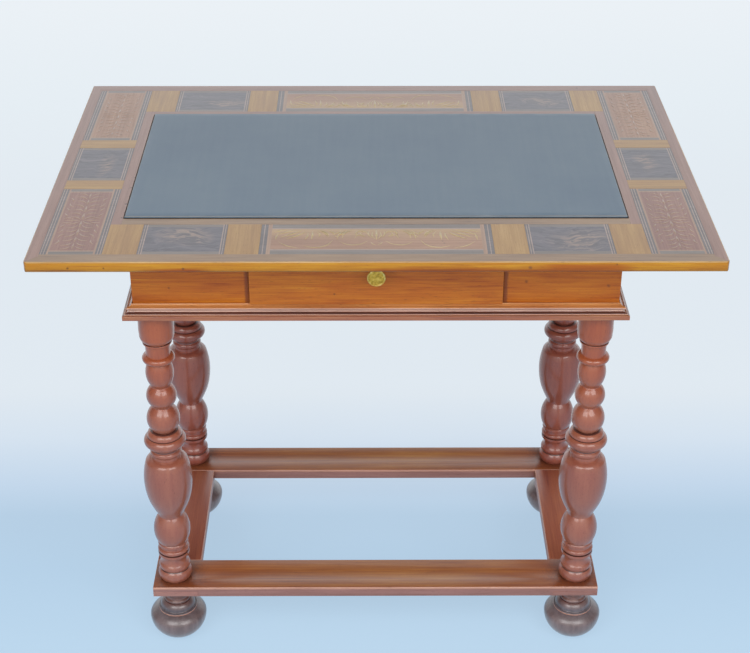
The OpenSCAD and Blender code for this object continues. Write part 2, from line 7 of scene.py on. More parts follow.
# %% Load the table's construction
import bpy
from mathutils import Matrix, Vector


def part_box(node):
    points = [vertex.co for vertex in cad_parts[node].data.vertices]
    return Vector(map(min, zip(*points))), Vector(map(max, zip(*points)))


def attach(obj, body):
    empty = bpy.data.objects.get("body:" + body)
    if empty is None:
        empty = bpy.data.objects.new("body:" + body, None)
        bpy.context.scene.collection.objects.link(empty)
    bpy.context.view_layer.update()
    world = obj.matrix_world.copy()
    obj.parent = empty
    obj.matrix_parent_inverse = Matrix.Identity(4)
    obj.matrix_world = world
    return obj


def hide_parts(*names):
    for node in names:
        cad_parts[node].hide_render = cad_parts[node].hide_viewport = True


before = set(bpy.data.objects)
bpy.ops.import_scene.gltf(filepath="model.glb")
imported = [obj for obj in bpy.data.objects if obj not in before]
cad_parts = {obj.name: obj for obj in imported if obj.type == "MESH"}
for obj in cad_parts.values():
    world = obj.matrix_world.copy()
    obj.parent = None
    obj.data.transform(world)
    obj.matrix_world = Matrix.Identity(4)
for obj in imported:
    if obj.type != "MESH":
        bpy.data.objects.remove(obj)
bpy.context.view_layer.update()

# %% [markdown]
# ## Units and small helpers
# The construction is in metres, and cabinet makers think in millimetres, so every size below is written in
# millimetres and multiplied by MM where it meets Blender. Two places closer than NEAR count as one.
# Operators act on whatever is selected, so each piece starts by deselecting everything.

# %% Helpers for selecting and measuring
import math
import bmesh
import bpy
from mathutils import Matrix, Vector

MM = 0.001
TABLE_TOP = 770
NEAR = 0.01
WELD = 0.001 * MM
FACING_UP = 0.97
CORNERS = ("front_left", "front_right", "back_left", "back_right")


def deselect():
    if bpy.context.mode != "OBJECT":
        bpy.ops.object.mode_set(mode="OBJECT")
    bpy.ops.object.select_all(action="DESELECT")


def work_on(piece):
    """Makes piece the only selected object, and the active one."""
    deselect()
    piece.select_set(True)
    bpy.context.view_layer.objects.active = piece


def edit(piece):
    """Goes into edit mode with the whole of piece selected."""
    work_on(piece)
    bpy.ops.object.mode_set(mode="EDIT")
    bpy.ops.mesh.select_all(action="SELECT")


def end_edit():
    bpy.ops.object.mode_set(mode="OBJECT")


def select_faces(piece, wanted):
    """In edit mode, selects the faces whose centre (mm) and normal satisfy wanted."""
    bpy.ops.mesh.select_mode(type="FACE")
    bpy.ops.mesh.select_all(action="DESELECT")
    cage = bmesh.from_edit_mesh(piece.data)
    for face in cage.faces:
        face.select = wanted(face.calc_center_median() / MM, face.normal)
    bmesh.update_edit_mesh(piece.data)


def select_edges(piece, wanted):
    """In edit mode, selects the edges whose two ends (mm) satisfy wanted."""
    bpy.ops.mesh.select_mode(type="EDGE")
    bpy.ops.mesh.select_all(action="DESELECT")
    cage = bmesh.from_edit_mesh(piece.data)
    for edge in cage.edges:
        if wanted(edge.verts[0].co / MM, edge.verts[1].co / MM):
            edge.select_set(True)
    bmesh.update_edit_mesh(piece.data)


def cut(place, axis):
    """In edit mode, cuts the whole mesh across an axis (0, 1 or 2) at place (m)."""
    normal = Vector((0, 0, 0))
    normal[axis] = 1
    bpy.ops.mesh.select_all(action="SELECT")
    bpy.ops.mesh.bisect(plane_co=place, plane_no=normal)


def smooth(piece, angle=30):
    """Shades round forms smoothly and keeps creases sharper than angle (degrees)."""
    work_on(piece)
    bpy.ops.object.shade_smooth_by_angle(angle=math.radians(angle))


def paint(piece, material, wanted):
    """Gives the faces whose centre (mm) and normal satisfy wanted a finish of their own."""
    if material.name not in piece.data.materials:
        piece.data.materials.append(material)
    piece.active_material_index = piece.data.materials.find(material.name)
    edit(piece)
    select_faces(piece, wanted)
    bpy.ops.object.material_slot_assign()
    end_edit()


def dress(piece, node, body):
    """Makes piece stand for its node and move with body."""
    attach(piece, body)
    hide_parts(node)


def twin_of(piece, name):
    """A copy of piece with its own mesh."""
    work_on(piece)
    bpy.ops.object.duplicate()
    twin = bpy.context.object
    twin.name = name
    twin.data.name = name
    return twin


def box(name, size, centre, *materials):
    """A box of size round centre (mm), left in edit mode with everything selected."""
    deselect()
    bpy.ops.mesh.primitive_cube_add(size=1, location=(0, 0, 0))
    piece = bpy.context.object
    piece.name = name
    for material in materials:
        piece.data.materials.append(material)
    edit(piece)
    bpy.ops.transform.resize(value=size * MM)
    bpy.ops.transform.translate(value=centre * MM)
    return piece


# %% [markdown]
# ## Camera
# The photograph was taken from standing height, a little over 2 m in front of the table, looking 30 degrees
# down. The values come from fitting the table's real edges to their places in the picture.

# %% Camera
VIEW_AT = Vector((-13.56, -2150.55, 1746.32)) * MM
YAW, PITCH, ROLL = (math.radians(a) for a in (0.35, 30.37, 0.10))
SENSOR_WIDTH = 36.0
FOCAL_PIXELS = 1562.33
PICTURE_WIDTH = 750

forward = Vector((math.sin(YAW) * math.cos(PITCH), math.cos(YAW) * math.cos(PITCH), -math.sin(PITCH)))
level = Vector((math.cos(YAW), -math.sin(YAW), 0))
upward = level.cross(forward)
right = level * math.cos(ROLL) + upward * math.sin(ROLL)
up = upward * math.cos(ROLL) - level * math.sin(ROLL)
lens = bpy.data.cameras.new("photo_camera")
lens.sensor_fit = "HORIZONTAL"
lens.sensor_width = SENSOR_WIDTH
lens.lens = FOCAL_PIXELS / PICTURE_WIDTH * SENSOR_WIDTH
camera = bpy.data.objects.new("photo_camera", lens)
camera.matrix_world = Matrix.Translation(VIEW_AT) @ Matrix((right, up, -forward)).transposed().to_4x4()
bpy.context.collection.objects.link(camera)
bpy.context.scene.camera = camera
bpy.context.scene.view_settings.view_transform = "Standard"
print("lens", round(lens.lens, 2), "mm")

# %% [markdown]
# ## Materials: small helpers
# Colours are written as hex values, as a paint chart or an image editor shows them. Blender mixes light in
# linear values, so one function turns them round. One function adds a node, sets it and links it, and a few
# short ones call it for the kinds that come up again and again.

# %% Colours and nodes


def linear(colour):
    """Turns a hex colour such as "#AA7744" into linear red, green, blue and 1."""
    values = [int(colour[i:i + 2], 16) / 255 for i in (1, 3, 5)]
    return [v / 12.92 if v <= 0.04045 else ((v + 0.055) / 1.055) ** 2.4 for v in values] + [1.0]


def feed(tree, node, sockets):
    """Sets a node's inputs, or links them. A node given as a value stands for its first output."""
    for name, value in sockets.items():
        if isinstance(value, bpy.types.Node):
            value = value.outputs[0]
        if isinstance(value, bpy.types.NodeSocket):
            tree.links.new(value, node.inputs[name])
        else:
            node.inputs[name].default_value = value


def add_node(tree, kind, sockets=None, **settings):
    """Adds a shader node. sockets holds what its inputs get, by name or number."""
    node = tree.nodes.new("ShaderNode" + kind)
    for name, value in settings.items():
        setattr(node, name, value)
    feed(tree, node, sockets or {})
    return node


def noise(tree, place, scale=1.0, detail=2.0, roughness=0.5, distortion=0.0):
    return add_node(tree, "TexNoise", {"Vector": place, "Scale": scale, "Detail": detail,
                                       "Roughness": roughness, "Distortion": distortion})


def ranged(tree, value, low, high, start=0.0, end=1.0):
    """Maps value from low and high to start and end, and holds it there beyond them."""
    return add_node(tree, "MapRange", {0: value, 1: low, 2: high, 3: start, 4: end})


def calc(tree, operation, *values, kind="Math"):
    return add_node(tree, kind, dict(enumerate(values)), operation=operation)


def mixed(tree, share, under, over, blend="MIX"):
    """Lays the colour over, which may be a hex value, on the colour under."""
    if isinstance(over, str):
        over = linear(over)
    return add_node(tree, "MixRGB", {0: share, 1: under, 2: over}, blend_type=blend)


def ramp(tree, value, stops):
    """A colour ramp. Its stops are places from 0 to 1 and hex colours."""
    node = add_node(tree, "ValToRGB", {0: value})
    elements = node.color_ramp.elements
    while len(elements) < len(stops):
        elements.new(0.5)
    for element, (place, colour) in zip(elements, stops):
        element.position = place
        element.color = linear(colour)
    return node


def new_material(name):
    """A material with a Principled shader: itself, its node tree, the shader and object coordinates."""
    material = bpy.data.materials.new(name)
    material.use_nodes = True
    tree = material.node_tree
    tree.nodes.clear()
    shader = add_node(tree, "BsdfPrincipled")
    add_node(tree, "OutputMaterial", {"Surface": shader}).name = "surface"
    return material, tree, shader, add_node(tree, "TexCoord").outputs["Object"]


# %% [markdown]
# ## Wood
# Polished wood shows four things: broad patches of tone, growth lines that run with the grain, fine fibres,
# and dark pores. Each is a noise that is stretched along the grain, at its real width in millimetres.
# On top lies wax over old shellac: a clear coat with soft, broad highlights.
# A turned leg cuts through the same solid noise, so its balls show the ovals that real turnings have.

# %% Wood with its grain along one axis
GRAIN_AXES = {"x": 0, "y": 1, "z": 2}
FIBRE_SIZE, PORE_SIZE = (30, 0.9), (9, 0.7)
TONE_SPREAD, SHEEN_SPREAD = 0.17, 0.06


def stretched(tree, place, along, length, width, shift=0.0):
    """Coordinates in which a pattern of size 1 is length mm long with the grain and width mm across it.

    Each pattern on a board has its own shift, so that no two are alike.
    """
    scale = [1 / (width * MM)] * 3
    scale[GRAIN_AXES[along]] = 1 / (length * MM)
    return add_node(tree, "Mapping", {"Vector": place, "Scale": scale, "Location": [shift] * 3})


def wood(name, tones, along, pore="#3A2018", line=3.0, patch=45.0, wax=0.4, rough=0.36, wax_rough=0.22,
         contrast=1.0, gloss=0.5, tint=None):
    """A polished wood: tones from dark to light, the grain along an axis, line and patch sizes in mm."""
    material, tree, shader, place = new_material(name)
    patches = noise(tree, stretched(tree, place, along, patch * 4, patch, 3))
    lines = noise(tree, stretched(tree, place, along, line * 40, line), 1.0, 4.0, 0.6, 0.4)
    fibres = noise(tree, stretched(tree, place, along, *FIBRE_SIZE, 7), detail=3.0)
    pores = noise(tree, stretched(tree, place, along, *PORE_SIZE, 11), detail=1.0)
    broad = add_node(tree, "Mix", {0: 0.45, 2: lines, 3: patches})
    figure = add_node(tree, "Mix", {0: 0.22, 2: broad, 3: fibres})
    spread = TONE_SPREAD / contrast
    steps = [0.5 - spread, 0.5 - spread * 0.3, 0.5 + spread * 0.3, 0.5 + spread]
    pits = ranged(tree, pores, 0.66, 0.76, 0.0, 0.55)
    colour = mixed(tree, pits, ramp(tree, figure, list(zip(steps, tones))), pore)
    if tint:
        colour = tint(tree, place, colour)
    bump = add_node(tree, "Bump", {"Height": fibres, "Strength": 0.25, "Distance": 0.12 * MM})
    sheen = ranged(tree, patches, 0.0, 1.0, rough - SHEEN_SPREAD, rough + SHEEN_SPREAD)
    feed(tree, shader, {"Base Color": colour, "Normal": bump, "Roughness": sheen, "IOR": 1.5,
                        "Specular IOR Level": gloss, "Coat Weight": wax, "Coat Roughness": wax_rough})
    return material


# %% [markdown]
# ## Marks of age
# Real boards aren't even from end to end. A finish can be handed a function that changes its colour by
# place: small stains and knots, red heartwood along one part of a board, or a tone that fades along one
# axis. Some of the marks and fades used below are painted shade.

# %% Stains, heartwood and fading


def stained(*marks):
    """Marks are (x, y, z, radius in mm, colour); an x, y or z of None lets the mark run on that way."""
    def tint(tree, place, colour):
        ragged = noise(tree, place, 300.0)
        for x, y, z, radius, tone in marks:
            keep = [0.0 if v is None else 1.0 for v in (x, y, z)]
            middle = [(v or 0) * MM for v in (x, y, z)]
            flat = calc(tree, "MULTIPLY", place, keep, kind="VectorMath")
            apart = calc(tree, "DISTANCE", flat, middle, kind="VectorMath").outputs[1]
            frayed = calc(tree, "MULTIPLY_ADD", ragged, radius * MM, apart)
            inside = ranged(tree, frayed, 0.9 * radius * MM, 1.6 * radius * MM, 0.8, 0.0)
            colour = mixed(tree, inside, colour, tone)
        return colour
    return tint


def faded(axis, start, end, tones):
    """Multiplies the colour by tones that run from start to end (mm) along an axis."""
    def tint(tree, place, colour):
        along = add_node(tree, "SeparateXYZ", {0: place}).outputs[axis]
        steps = [(i / (len(tones) - 1), tone) for i, tone in enumerate(tones)]
        shade = ramp(tree, ranged(tree, along, start * MM, end * MM), steps)
        return mixed(tree, 1.0, colour, shade, "MULTIPLY")
    return tint


def heartwood(low, high, spans, tone):
    """Red heartwood between two heights (mm) with a wavy upper edge, in spans (start, end, strength)."""
    def tint(tree, place, colour):
        parts = add_node(tree, "SeparateXYZ", {0: place}).outputs
        wave = noise(tree, stretched(tree, place, "x", 140, 14, 5), detail=3.0)
        height = ranged(tree, parts["Z"], low * MM, high * MM, 1.0, 0.0)
        inside = ranged(tree, calc(tree, "MULTIPLY_ADD", wave, 1.8, height), 1.1, 1.5)
        for start, end, strength in spans:
            comes = ranged(tree, parts["X"], start * MM, (start + 40) * MM, 0.0, strength)
            stays = ranged(tree, parts["X"], (end - 30) * MM, end * MM, comes, 0.0)
            colour = mixed(tree, calc(tree, "MULTIPLY", inside, stays), colour, tone, "MULTIPLY")
        return colour
    return tint


def yellowed(near, far, tone, strength):
    """Mixes in tone between two distances (mm) from the table's middle line, most at near."""
    def tint(tree, place, colour):
        away = calc(tree, "ABSOLUTE", add_node(tree, "SeparateXYZ", {0: place}).outputs["Y"])
        return mixed(tree, ranged(tree, away, near * MM, far * MM, strength, 0.0), colour, tone)
    return tint


def together(*tints):
    """One tint that applies several in turn."""
    def tint(tree, place, colour):
        for each in tints:
            colour = each(tree, place, colour)
        return colour
    return tint


# %% [markdown]
# ## The finishes of this table
# Old walnut and cherry have gone red-brown on the legs and orange on the frieze, which faces less light.
# The lipping round the top is the same wood; its top face and the front strips are a grey honey, a
# painted sheen. Paler edges are partly wear and partly painted highlight, and the darker hollows are
# painted shade, with old polish in the quirks of the turnings. The hidden boards are pine and were never
# polished.

# %% Wood finishes
LEG_TONES = ["#783E2E", "#905444", "#A0644E", "#AE7458"]
FRIEZE_TONES = ["#8E4016", "#B05B1A", "#BE6B1C", "#CC8128"]
STRETCHER_TONES = ["#743C1E", "#8A5028", "#9A602C", "#AA7236"]
SIDE_RAIL_TONES = ["#7C3A2E", "#944E38", "#A25A3E", "#B06C48"]
FACE_SHEEN_TONES = ["#7A4C44", "#8C5E52", "#98685E", "#A6786A"]
RAIL_EDGE_LIT_TONES = ["#94604C", "#A87460", "#B6826C", "#C4927C"]
MOULDING_TONES = ["#743C22", "#945232", "#A2643C", "#B4784A"]
TOP_LIGHT_TONES = ["#B06C3E", "#C6824A", "#D29054", "#DE9E62"]
ROUND_HIGHLIGHT_TONES = ["#A27460", "#B68872", "#C2947E", "#CEA28C"]
HOLLOW_SHADE_TONES = ["#48241A", "#562C20", "#623426", "#6E3E2E"]
QUIRK_SHADE_TONES = ["#40201A", "#4C2820", "#583028", "#643A30"]
GOLD_TONES = ["#86501A", "#A86C18", "#B67E1C", "#C8922A"]
WORN_LIT_TONES = ["#A07448", "#B48A58", "#C29C68", "#D0AE7E"]
ROSE_TONES = ["#785850", "#8A685C", "#947266", "#A07E70"]
HONEY_TONES = ["#8A6332", "#9C733C", "#A88146", "#B69058"]
GREY_HONEY_TONES = ["#705644", "#886C52", "#967A5E", "#A68A6C"]
FIELD_TONES = ["#886048", "#966E54", "#A27A60", "#AE886C"]
RED_FIELD_TONES = ["#764F46", "#845C50", "#8E665A", "#9A7466"]
INLAY_TONES = ["#A0865A", "#AE9464", "#BCA270", "#C8B07E"]
FAINT_TONES = ["#8C6C58", "#987862", "#A2826C", "#AC8E76"]
DARK_BAND_TONES = ["#544C4E", "#605858", "#6A6262", "#746C6C"]
GREY_BAND_TONES = ["#665C56", "#726862", "#7C726C", "#887E78"]
LIGHT_BAND_TONES = ["#8A7870", "#968278", "#A08C82", "#AA968C"]
PINE_TONES = ["#9A7044", "#B08654", "#BE9462", "#CCA674"]
FOOT_TONES = ["#564440", "#6E5854", "#806A66", "#947C78"]

turned_wood = wood("turned_walnut_waxed", LEG_TONES, "z", line=12.0, patch=45, wax=0.9, rough=0.4,
                   wax_rough=0.16, contrast=0.5, gloss=0.3,
                   tint=together(faded("Z", 116, 616, ["#F4ECEC", "#F2E6E2", "#FFCC87"]),
                                 faded("Y", -164, 164, ["#FFFFFF", "#EEDADE"])))
# The feet are painted darker and bluer round the step under the stretcher, as painted shade and painted
# reflection, and more orange at the neck.
foot_wood = wood("turned_walnut_darkened", FOOT_TONES, "z", line=6.0, patch=24, wax=1.0, rough=0.4,
                 wax_rough=0.28, contrast=0.8, tint=faded("Z", 0, 98, [
                     "#FFE4D4", "#FFECE0", "#F4F2F4", "#C0D0E2", "#F4C4AC", "#F4C4AC"]))
# The two long marks at x = ±185.5 are painted shadow beside the proud drawer front; the others are stains.
frieze_x = wood("frieze_cherry_polished", FRIEZE_TONES, "x", line=2.6, patch=30, wax=0.1, rough=0.42,
                gloss=0.25, tint=stained((-297, None, 662, 2.2, "#6E3C1C"), (215, None, 672, 3, "#7E4420"),
                             (333, None, 665, 3, "#7E4420"), (-60, None, 655, 2, "#6E3C1C"),
                             (-185.5, -190.5, None, 4, "#7A3E22"), (185.5, -190.5, None, 4, "#7A3E22")))
frieze_y = wood("frieze_cherry_side", FRIEZE_TONES, "y", line=2.6, patch=30, wax=0.1, rough=0.42,
                gloss=0.25)
arris_worn_and_lit = wood("cherry_edge_worn_and_lit", WORN_LIT_TONES, "x", line=5)
arris_worn_and_lit_y = wood("cherry_side_edge_worn_and_lit", WORN_LIT_TONES, "y", line=5)
LEG_X, LEG_Y = 324, 163.5
# Darker round the foot of each leg.
LEG_DARKENING = [(x, y, None, 48, "#5E3426") for x in (-LEG_X, LEG_X) for y in (-LEG_Y, LEG_Y)]
redder_ends = faded("X", -330, 330, ["#E8C4C8", "#FFFFFF", "#FFFFFF", "#E8C4C8"])
stretcher_x = wood("stretcher_walnut", STRETCHER_TONES, "x", line=4, wax=0.3, rough=0.42,
                   tint=together(redder_ends, stained(*LEG_DARKENING)))
stretcher_y = wood("stretcher_walnut_side", SIDE_RAIL_TONES, "y", line=4, wax=0.3, rough=0.42,
                   tint=faded("X", -352, 352, ["#E9E7F0", "#FFFFFF"]))
rail_edge_worn_and_lit = wood("stretcher_walnut_edge_worn_and_lit", RAIL_EDGE_LIT_TONES, "x", line=4)
rail_face_sheen = wood("stretcher_walnut_face_sheen", FACE_SHEEN_TONES, "x", line=5, wax=0.2, rough=0.5)
moulding_x = wood("moulding_walnut", MOULDING_TONES, "x", wax=0.7, rough=0.3, wax_rough=0.18)
# Paler and darker copies of the moulding's wood: painted light on its top, a painted highlight on its round
# and fillet, and painted shade in its cove.
moulding_top_light = wood("moulding_walnut_painted_light", TOP_LIGHT_TONES, "x", wax=0.3)
moulding_highlight = wood("moulding_walnut_painted_highlight", ROUND_HIGHLIGHT_TONES, "x", wax=0.7, wax_rough=0.18)
cove_shade = wood("moulding_walnut_painted_shade", HOLLOW_SHADE_TONES, "x", wax=0.3)
# Darker wood for the quirks of the turnings: old polish and painted shade.
quirk_shade = wood("turned_walnut_quirk_shade", QUIRK_SHADE_TONES, "x", wax=0.7)
moulding_y = wood("moulding_walnut_side", MOULDING_TONES, "y", wax=0.7, rough=0.3, wax_rough=0.18)
# The lipping's front face is painted darker towards its rounded lower edge: painted shade.
gold_x = wood("lipping_cherry_golden", GOLD_TONES, "x", wax=0.1, gloss=0.3, tint=together(
    faded("Z", 753, 770, ["#E2DAD6", "#F0EEEC", "#FFFFFF", "#FFFFFF"]),
    heartwood(752, 766, ((-327, -215, 1.0), (-215, -20, 0.35), (-30, 352, 0.9)), "#E0AE90"),
    stained((-412, None, 761, 2, "#4A2814"), (-364, None, 761, 1.6, "#5A3418"),
            (-258, None, 760, 2.2, "#5A3020"), (205, None, 761, 3, "#6E4020"),
            (320, None, 766, 1.5, "#5A3418"))))
# Grey honey for the lipping's top and the front strips: the wood's honey with a painted sheen.
front_sheen = wood("lipping_cherry_grey_sheen", GREY_HONEY_TONES, "x", line=2.4)
rose_x = wood("lipping_cherry_back", ROSE_TONES, "x", line=4,
              tint=stained((338, 303, None, 2.2, "#4A3430")))
# The small dark marks along the slate's left edge are painted shade, standing for chips in the veneer's edge.
rose_y = wood("lipping_cherry_side", ROSE_TONES, "y", line=4, tint=stained(
    (-355, -48, None, 1.6, "#3A2E2A"), (-356, -84, None, 2.2, "#3A2E2A"),
    (-355, -112, None, 1.8, "#3A2E2A"), (-356.5, -138, None, 2.4, "#3A2E2A"),
    (-355, -166, None, 1.6, "#3A2E2A"), (-357, -182, None, 2, "#3A2E2A")))
honey_x = wood("ground_veneer_across", HONEY_TONES, "x", line=4,
               tint=stained((-85, -300, None, 1.8, "#6E5238"), (-78, -303, None, 1.5, "#6E5238")))
honey_y = wood("ground_veneer_upright", HONEY_TONES, "y", line=4)
field_x = wood("marquetry_field_plum", FIELD_TONES, "x",
               tint=together(yellowed(222, 252, "#C0A472", 0.45), stained(
                   (90, -254, None, 1.4, "#5E4A40"), (92, -260, None, 1.4, "#5E4A40"))))
front_field = wood("marquetry_field_plum_red", RED_FIELD_TONES, "y")
field_y = wood("marquetry_field_plum_upright", FIELD_TONES, "y",
               tint=stained((-397, 109, None, 2, "#4E4034"), (427, 104, None, 3, "#6E5648"),
                            (427, -198, None, 1.5, "#6A4A44"), (-389, -212, None, 1.5, "#6A4A44")))
inlay_wood = wood("marquetry_scrolls_maple", INLAY_TONES, "x")
faint_inlay = wood("marquetry_scrolls_faded", FAINT_TONES, "y")
dark_band = wood("banding_stained_pear", DARK_BAND_TONES, "x")
grey_band = wood("banding_grey_walnut", GREY_BAND_TONES, "x")
light_band = wood("banding_maple", LIGHT_BAND_TONES, "x")
pine_x, pine_y, pine_z = (
    wood(name, PINE_TONES, along, line=5, wax=0.0, rough=0.6, pore="#8A6238")
    for name, along in (("carcase_pine", "x"), ("carcase_pine_deep", "y"), ("carcase_pine_upright", "z")))
print("wood finishes", len(bpy.data.materials))

# %% [markdown]
# ## Burr, slate and metal
# Burr veneer is cut from a growth with no straight grain: its lines swirl round small knots, with paler
# flames between them. Slate is split and rubbed smooth: a matt, nearly even blue-grey with faint clouds.
# The knob is cast brass that has gone dull in the dish of its face.

# %% Burr veneer
CURL_SIZE, SWIRL = (60, 7), 50


def burr(name, flame_at, flame_size, turn, shift):
    """A burr leaf with one paler flame at flame_at, of flame_size (mm), turned by turn degrees."""
    material, tree, shader, place = new_material(name)
    swirl = noise(tree, place, 16.0).outputs["Color"]
    bent = calc(tree, "SUBTRACT", swirl, (0.5, 0.5, 0.5), kind="VectorMath")
    moved = calc(tree, "MULTIPLY_ADD", bent, (SWIRL * MM,) * 3, place, kind="VectorMath")
    curls = noise(tree, stretched(tree, moved, "x", *CURL_SIZE, shift), 1.0, 5.0, 0.6, 1.2)
    colour = ramp(tree, curls, [
        (0.32, "#4C484E"), (0.45, "#5A565E"), (0.56, "#645F66"), (0.72, "#746C70")])
    flame_centre = [v * MM for v in flame_at] + [TABLE_TOP * MM]
    centred = calc(tree, "SUBTRACT", moved, flame_centre, kind="VectorMath")
    round_it = add_node(tree, "Mapping", {
        "Vector": centred, "Rotation": (0, 0, math.radians(turn)),
        "Scale": [1 / (v * MM) for v in flame_size] + [1]})
    reach = calc(tree, "LENGTH", round_it, kind="VectorMath").outputs[1]
    flame = ranged(tree, reach, 0.2, 1.3, 1.0, 0.0)
    wisps = ranged(tree, curls, 0.46, 0.6, 0.08, 0.6)
    lit = mixed(tree, calc(tree, "MULTIPLY", flame, wisps), colour, "#AE9278")
    feed(tree, shader, {"Base Color": lit, "Roughness": 0.36, "IOR": 1.5, "Coat Weight": 0.4,
                        "Coat Roughness": 0.22})
    return material


# %% Slate
slate, tree, shader, place = new_material("slate_rubbed")
clouds = noise(tree, place, 7.0, 5.0, 0.6)
grit = noise(tree, place, 900.0).outputs["Color"]
scuffs = noise(tree, stretched(tree, place, "y", 160, 9), 1.0, 4.0, 0.65)
shade = add_node(tree, "Mix", {0: 0.3, 2: clouds, 3: scuffs})
tone = ramp(tree, shade, [(0.3, "#5F7081"), (0.5, "#657685"), (0.7, "#6B7B88")])
tone.name = "slate tone"
rub = add_node(tree, "Bump", {"Height": scuffs, "Strength": 0.2, "Distance": 0.15 * MM})
fine = mixed(tree, 0.08, tone, grit, "OVERLAY")
feed(tree, shader, {"Base Color": fine, "Normal": rub, "Roughness": 0.42})
slate_edge = slate.copy()
slate_edge.name = "slate_rubbed_edge"
for element in slate_edge.node_tree.nodes["slate tone"].color_ramp.elements:
    element.color = linear("#737371")
# Near-black painted shade for the gap round the slate and the walls of its bed.
gap_shade, tree, shader, place = new_material("painted_shade_in_the_gap")
tone = ramp(tree, noise(tree, place, 500.0), [(0.4, "#0C0A0A"), (0.7, "#2A2220")])
feed(tree, shader, {"Base Color": tone, "Roughness": 0.95})

# %% Brass and iron


def cast_brass(name, tones, smoothest, roughest):
    """Brass with patches of tarnish: tones from dull to bright, roughness from bright to dull."""
    material, tree, shader, place = new_material(name)
    dull = noise(tree, place, 220.0, 4.0)
    tone = ramp(tree, dull, list(zip((0.35, 0.5, 0.65), tones)))
    wear = ranged(tree, dull, 0.3, 0.7, roughest, smoothest)
    feed(tree, shader, {"Base Color": tone, "Roughness": wear, "Metallic": 1.0})
    return material


brass = cast_brass("cast_brass_rubbed", ["#CCA24A", "#E2BE64", "#F2D890"], 0.26, 0.45)
tarnish = cast_brass("cast_brass_tarnished", ["#AE8A3C", "#D2A646", "#E8C05E"], 0.4, 0.6)
iron, tree, shader, place = new_material("forged_iron")
tone = ramp(tree, noise(tree, place, 400.0, 3.0), [(0.35, "#4A4644"), (0.65, "#6E6A68")])
feed(tree, shader, {"Base Color": tone, "Metallic": 1.0, "Roughness": 0.55})

# %% [markdown]
# ## Boards
# Sawn and planed boards need no new form: the construction has their joints. A real board's edges are
# eased with a plane or worn by hands, and catch the light. So each board is copied, its loose
# triangles are welded, flat faces are joined up, and a narrow bevel gets a finish of its own, paler where
# the edge is worn, which is also a painted highlight.

# %% Eased copies of the boards


def eased(node, material, ease, arris=None, body="frame"):
    """Copies a node's board, eases its edges by ease (mm) and lets the copy stand for the node."""
    board = twin_of(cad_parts[node], node + "_eased")
    board.data.materials.clear()
    board.data.materials.append(material)
    board.data.materials.append(arris or material)
    edit(board)
    bpy.ops.mesh.remove_doubles(threshold=WELD)
    bpy.ops.mesh.dissolve_limited(angle_limit=math.radians(0.5))
    end_edit()
    if ease:
        bevel = board.modifiers.new("eased", "BEVEL")
        bevel.width = ease * MM
        bevel.segments = 2
        bevel.limit_method = "ANGLE"
        bevel.angle_limit = math.radians(40)
        bevel.material = 1
        bevel.harden_normals = False
        bpy.ops.object.modifier_apply(modifier="eased")
    smooth(board)
    dress(board, node, body)
    return board


def faces_up(centre, normal):
    return normal.z > FACING_UP


def on_upper_arris(centre, normal):
    return 0.3 < normal.z < FACING_UP


def faces_out_of_frame(centre, normal):
    """The front and back sides of the stretchers, painted paler and pinker as a painted sheen."""
    return abs(normal.y) > 0.7


WORN_AND_LIT_FROM = 112.0


def on_stretcher_edge(centre, normal):
    """The top of a stretcher's sides and its upper arris, worn and painted paler as a highlight."""
    return WORN_AND_LIT_FROM < centre.z and normal.z < FACING_UP


for node in ("frieze_front_left", "frieze_front_right", "frieze_back", "drawer_rail"):
    eased(node, frieze_x, 0.6)
for node in ("frieze_left", "frieze_right"):
    eased(node, frieze_y, 0.3)
RAILS = {"front": stretcher_x, "back": stretcher_x, "left": stretcher_y, "right": stretcher_y}
for side, rail in RAILS.items():
    board = eased("stretcher_" + side, rail, 0.4)
    edit(board)
    cut((0, 0, WORN_AND_LIT_FROM * MM), 2)
    end_edit()
    # The front and back sides are painted paler and pinker: a painted sheen.
    paint(board, rail_face_sheen, faces_out_of_frame)
    # The top band and arris of each stretcher are painted paler: wear and a painted highlight.
    paint(board, rail_edge_worn_and_lit, on_stretcher_edge)
# The top of the moulding is painted lighter, its round and the fillet below are painted highlights, and its
# cove is painted shade.
MOULDING_TOP, ROUND_TOP, HOLLOW_TOP, HOLLOW_BASE, FILLET_BASE = 638, 633.5, 626.6, 624.15, 623.2
for node in ("moulding_front", "moulding_back"):
    board = eased(node, moulding_x, 0)
    for finish, low, high in (
            (moulding_top_light, ROUND_TOP, MOULDING_TOP), (moulding_highlight, HOLLOW_TOP, ROUND_TOP),
            (cove_shade, HOLLOW_BASE, HOLLOW_TOP), (moulding_highlight, FILLET_BASE, HOLLOW_BASE)):
        paint(board, finish, lambda centre, normal: low < centre.z < high)
for node in ("moulding_left", "moulding_right"):
    eased(node, moulding_y, 0)
board = eased("lipping_front", gold_x, 0)
# The lipping's top face is painted grey honey as a sheen.
paint(board, front_sheen, faces_up)
# The upper arris is painted paler: wear and a painted highlight.
paint(board, arris_worn_and_lit, on_upper_arris)
eased("lipping_back", rose_x, 0)
# Their upper arris too is painted paler: wear and a painted highlight.
for node in ("lipping_left", "lipping_right"):
    paint(eased(node, rose_y, 0), arris_worn_and_lit_y, on_upper_arris)
